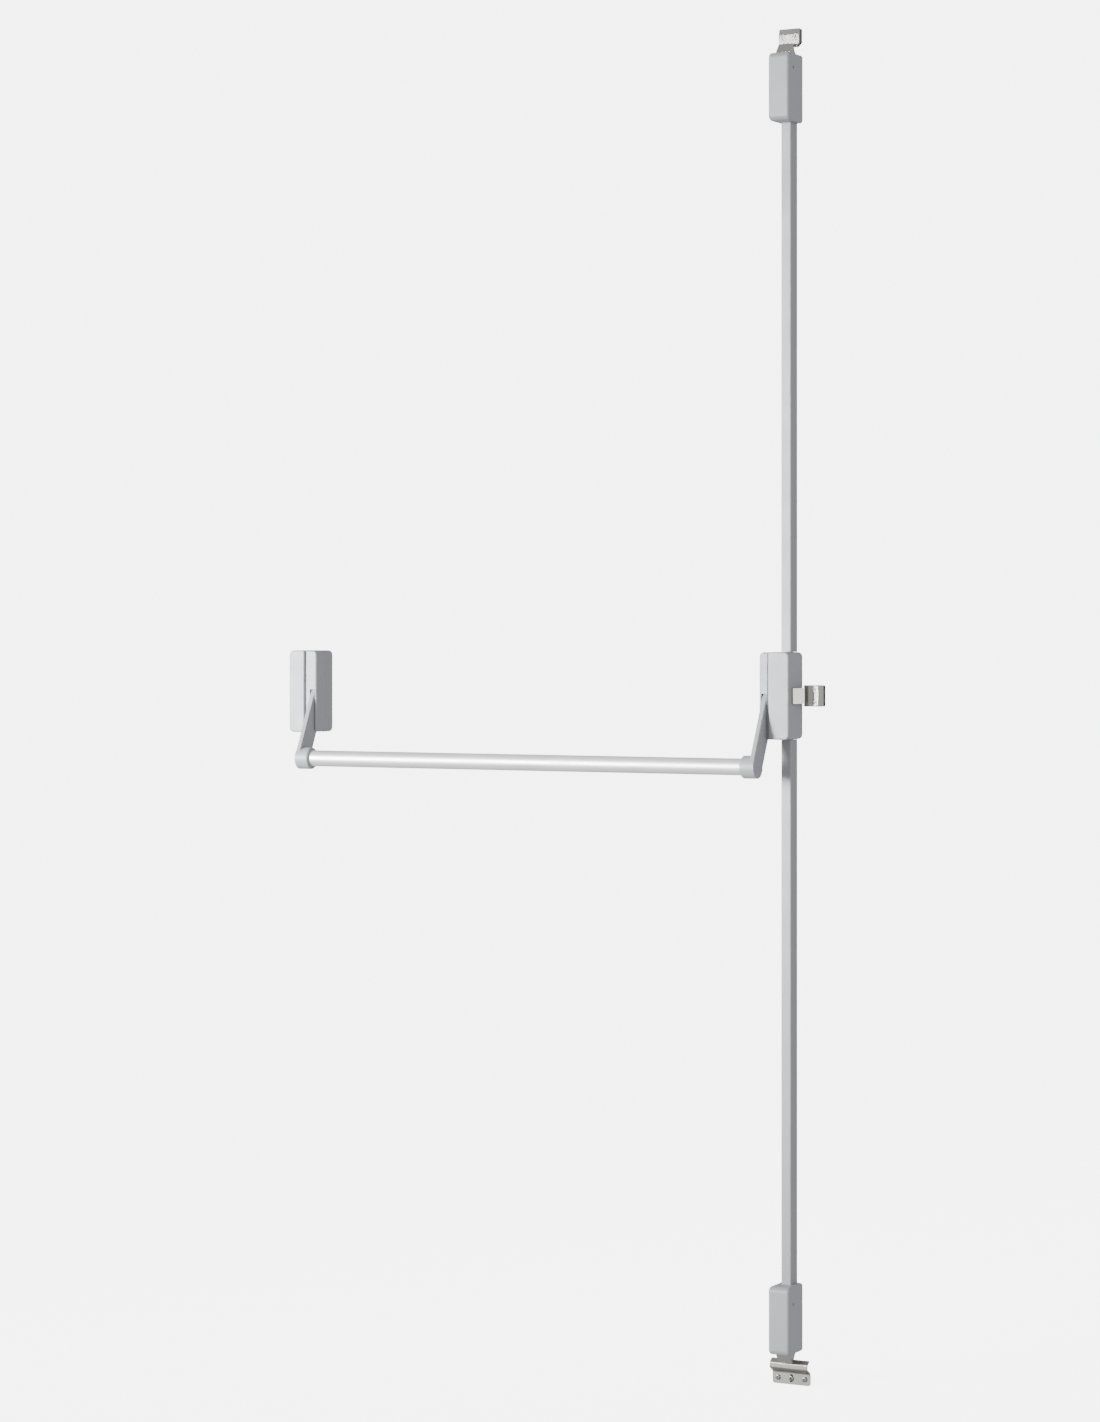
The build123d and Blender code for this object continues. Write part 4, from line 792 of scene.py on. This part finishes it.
class EXITBAR_OT_stage(Operator):
    """Pale paper floor and wall, soft lights and the camera"""
    bl_idname = "exitbar.stage"
    bl_label = "Stage"

    def execute(self, context):
        scene = context.scene
        setup = properties().stage
        low, high = CAD_BOX
        backdrop = cyclorama(low[2] - FLOOR_GAP)
        backdrop.data.materials.append(glowing_paper(setup.backdrop, setup.glow))
        backdrop.visible_diffuse = False
        backdrop.visible_glossy = False
        centre = ((low[0] + high[0]) / 2, 0, (low[2] + high[2]) / 2)
        softbox("key_softbox", KEY_PLACE, KEY_TARGET, KEY_SIZE, KEY_WATTS, KEY_GRID)
        softbox("fill_softbox", FILL_PLACE, centre, FILL_SIZE, FILL_WATTS)
        world = bpy.data.worlds.new("studio_air")
        world.use_nodes = True
        air = world.node_tree.nodes["Background"].inputs
        air["Color"].default_value = linear(AIR_COLOUR)
        air["Strength"].default_value = AIR_STRENGTH
        scene.world = world
        lens = bpy.data.cameras.new("view_camera")
        lens.sensor_fit = "VERTICAL"
        lens.sensor_height = SENSOR_HEIGHT
        lens.lens = setup.lens
        lens.shift_y = setup.shift
        lens.clip_end = VIEW_DEPTH
        camera = bpy.data.objects.new("view_camera", lens)
        scene.collection.objects.link(camera)
        camera.location = setup.camera_place
        camera.rotation_euler = (pi / 2, 0, setup.camera_azimuth)
        scene.camera = camera
        return {"FINISHED"}


# ---- add-on ----------------------------------------------------------------------------------

OPERATORS = (EXITBAR_OT_castings, EXITBAR_OT_push_tube, EXITBAR_OT_sheet_and_bolts,
             EXITBAR_OT_screws, EXITBAR_OT_springs, EXITBAR_OT_inner_gear, EXITBAR_OT_stage)


class EXITBAR_PT_panel(Panel):
    """Lists the pieces and their settings"""
    bl_idname = "EXITBAR_PT_panel"
    bl_label = "Panic Exit Bar"
    bl_space_type = "VIEW_3D"
    bl_region_type = "UI"
    bl_category = "Exit Bar"

    def draw(self, context):
        settings = context.scene.exit_bar
        for group in (settings.colours, settings.sizes, settings.stage):
            box = self.layout.box()
            for key in group.__annotations__:
                box.prop(group, key)
        for operator in OPERATORS:
            self.layout.operator(operator.bl_idname)


CLASSES = (ExitBarColours, ExitBarSizes, ExitBarStage, ExitBarProperties) + OPERATORS + (EXITBAR_PT_panel,)


def register():
    for made in CLASSES:
        bpy.utils.register_class(made)
    bpy.types.Scene.exit_bar = PointerProperty(type=ExitBarProperties)


def unregister():
    del bpy.types.Scene.exit_bar
    for made in reversed(CLASSES):
        bpy.utils.unregister_class(made)


def main():
    """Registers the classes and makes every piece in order."""
    register()
    for operator in OPERATORS:
        family, action = operator.bl_idname.split(".")
        getattr(getattr(bpy.ops, family), action)()


if __name__ == "__main__":
    main()
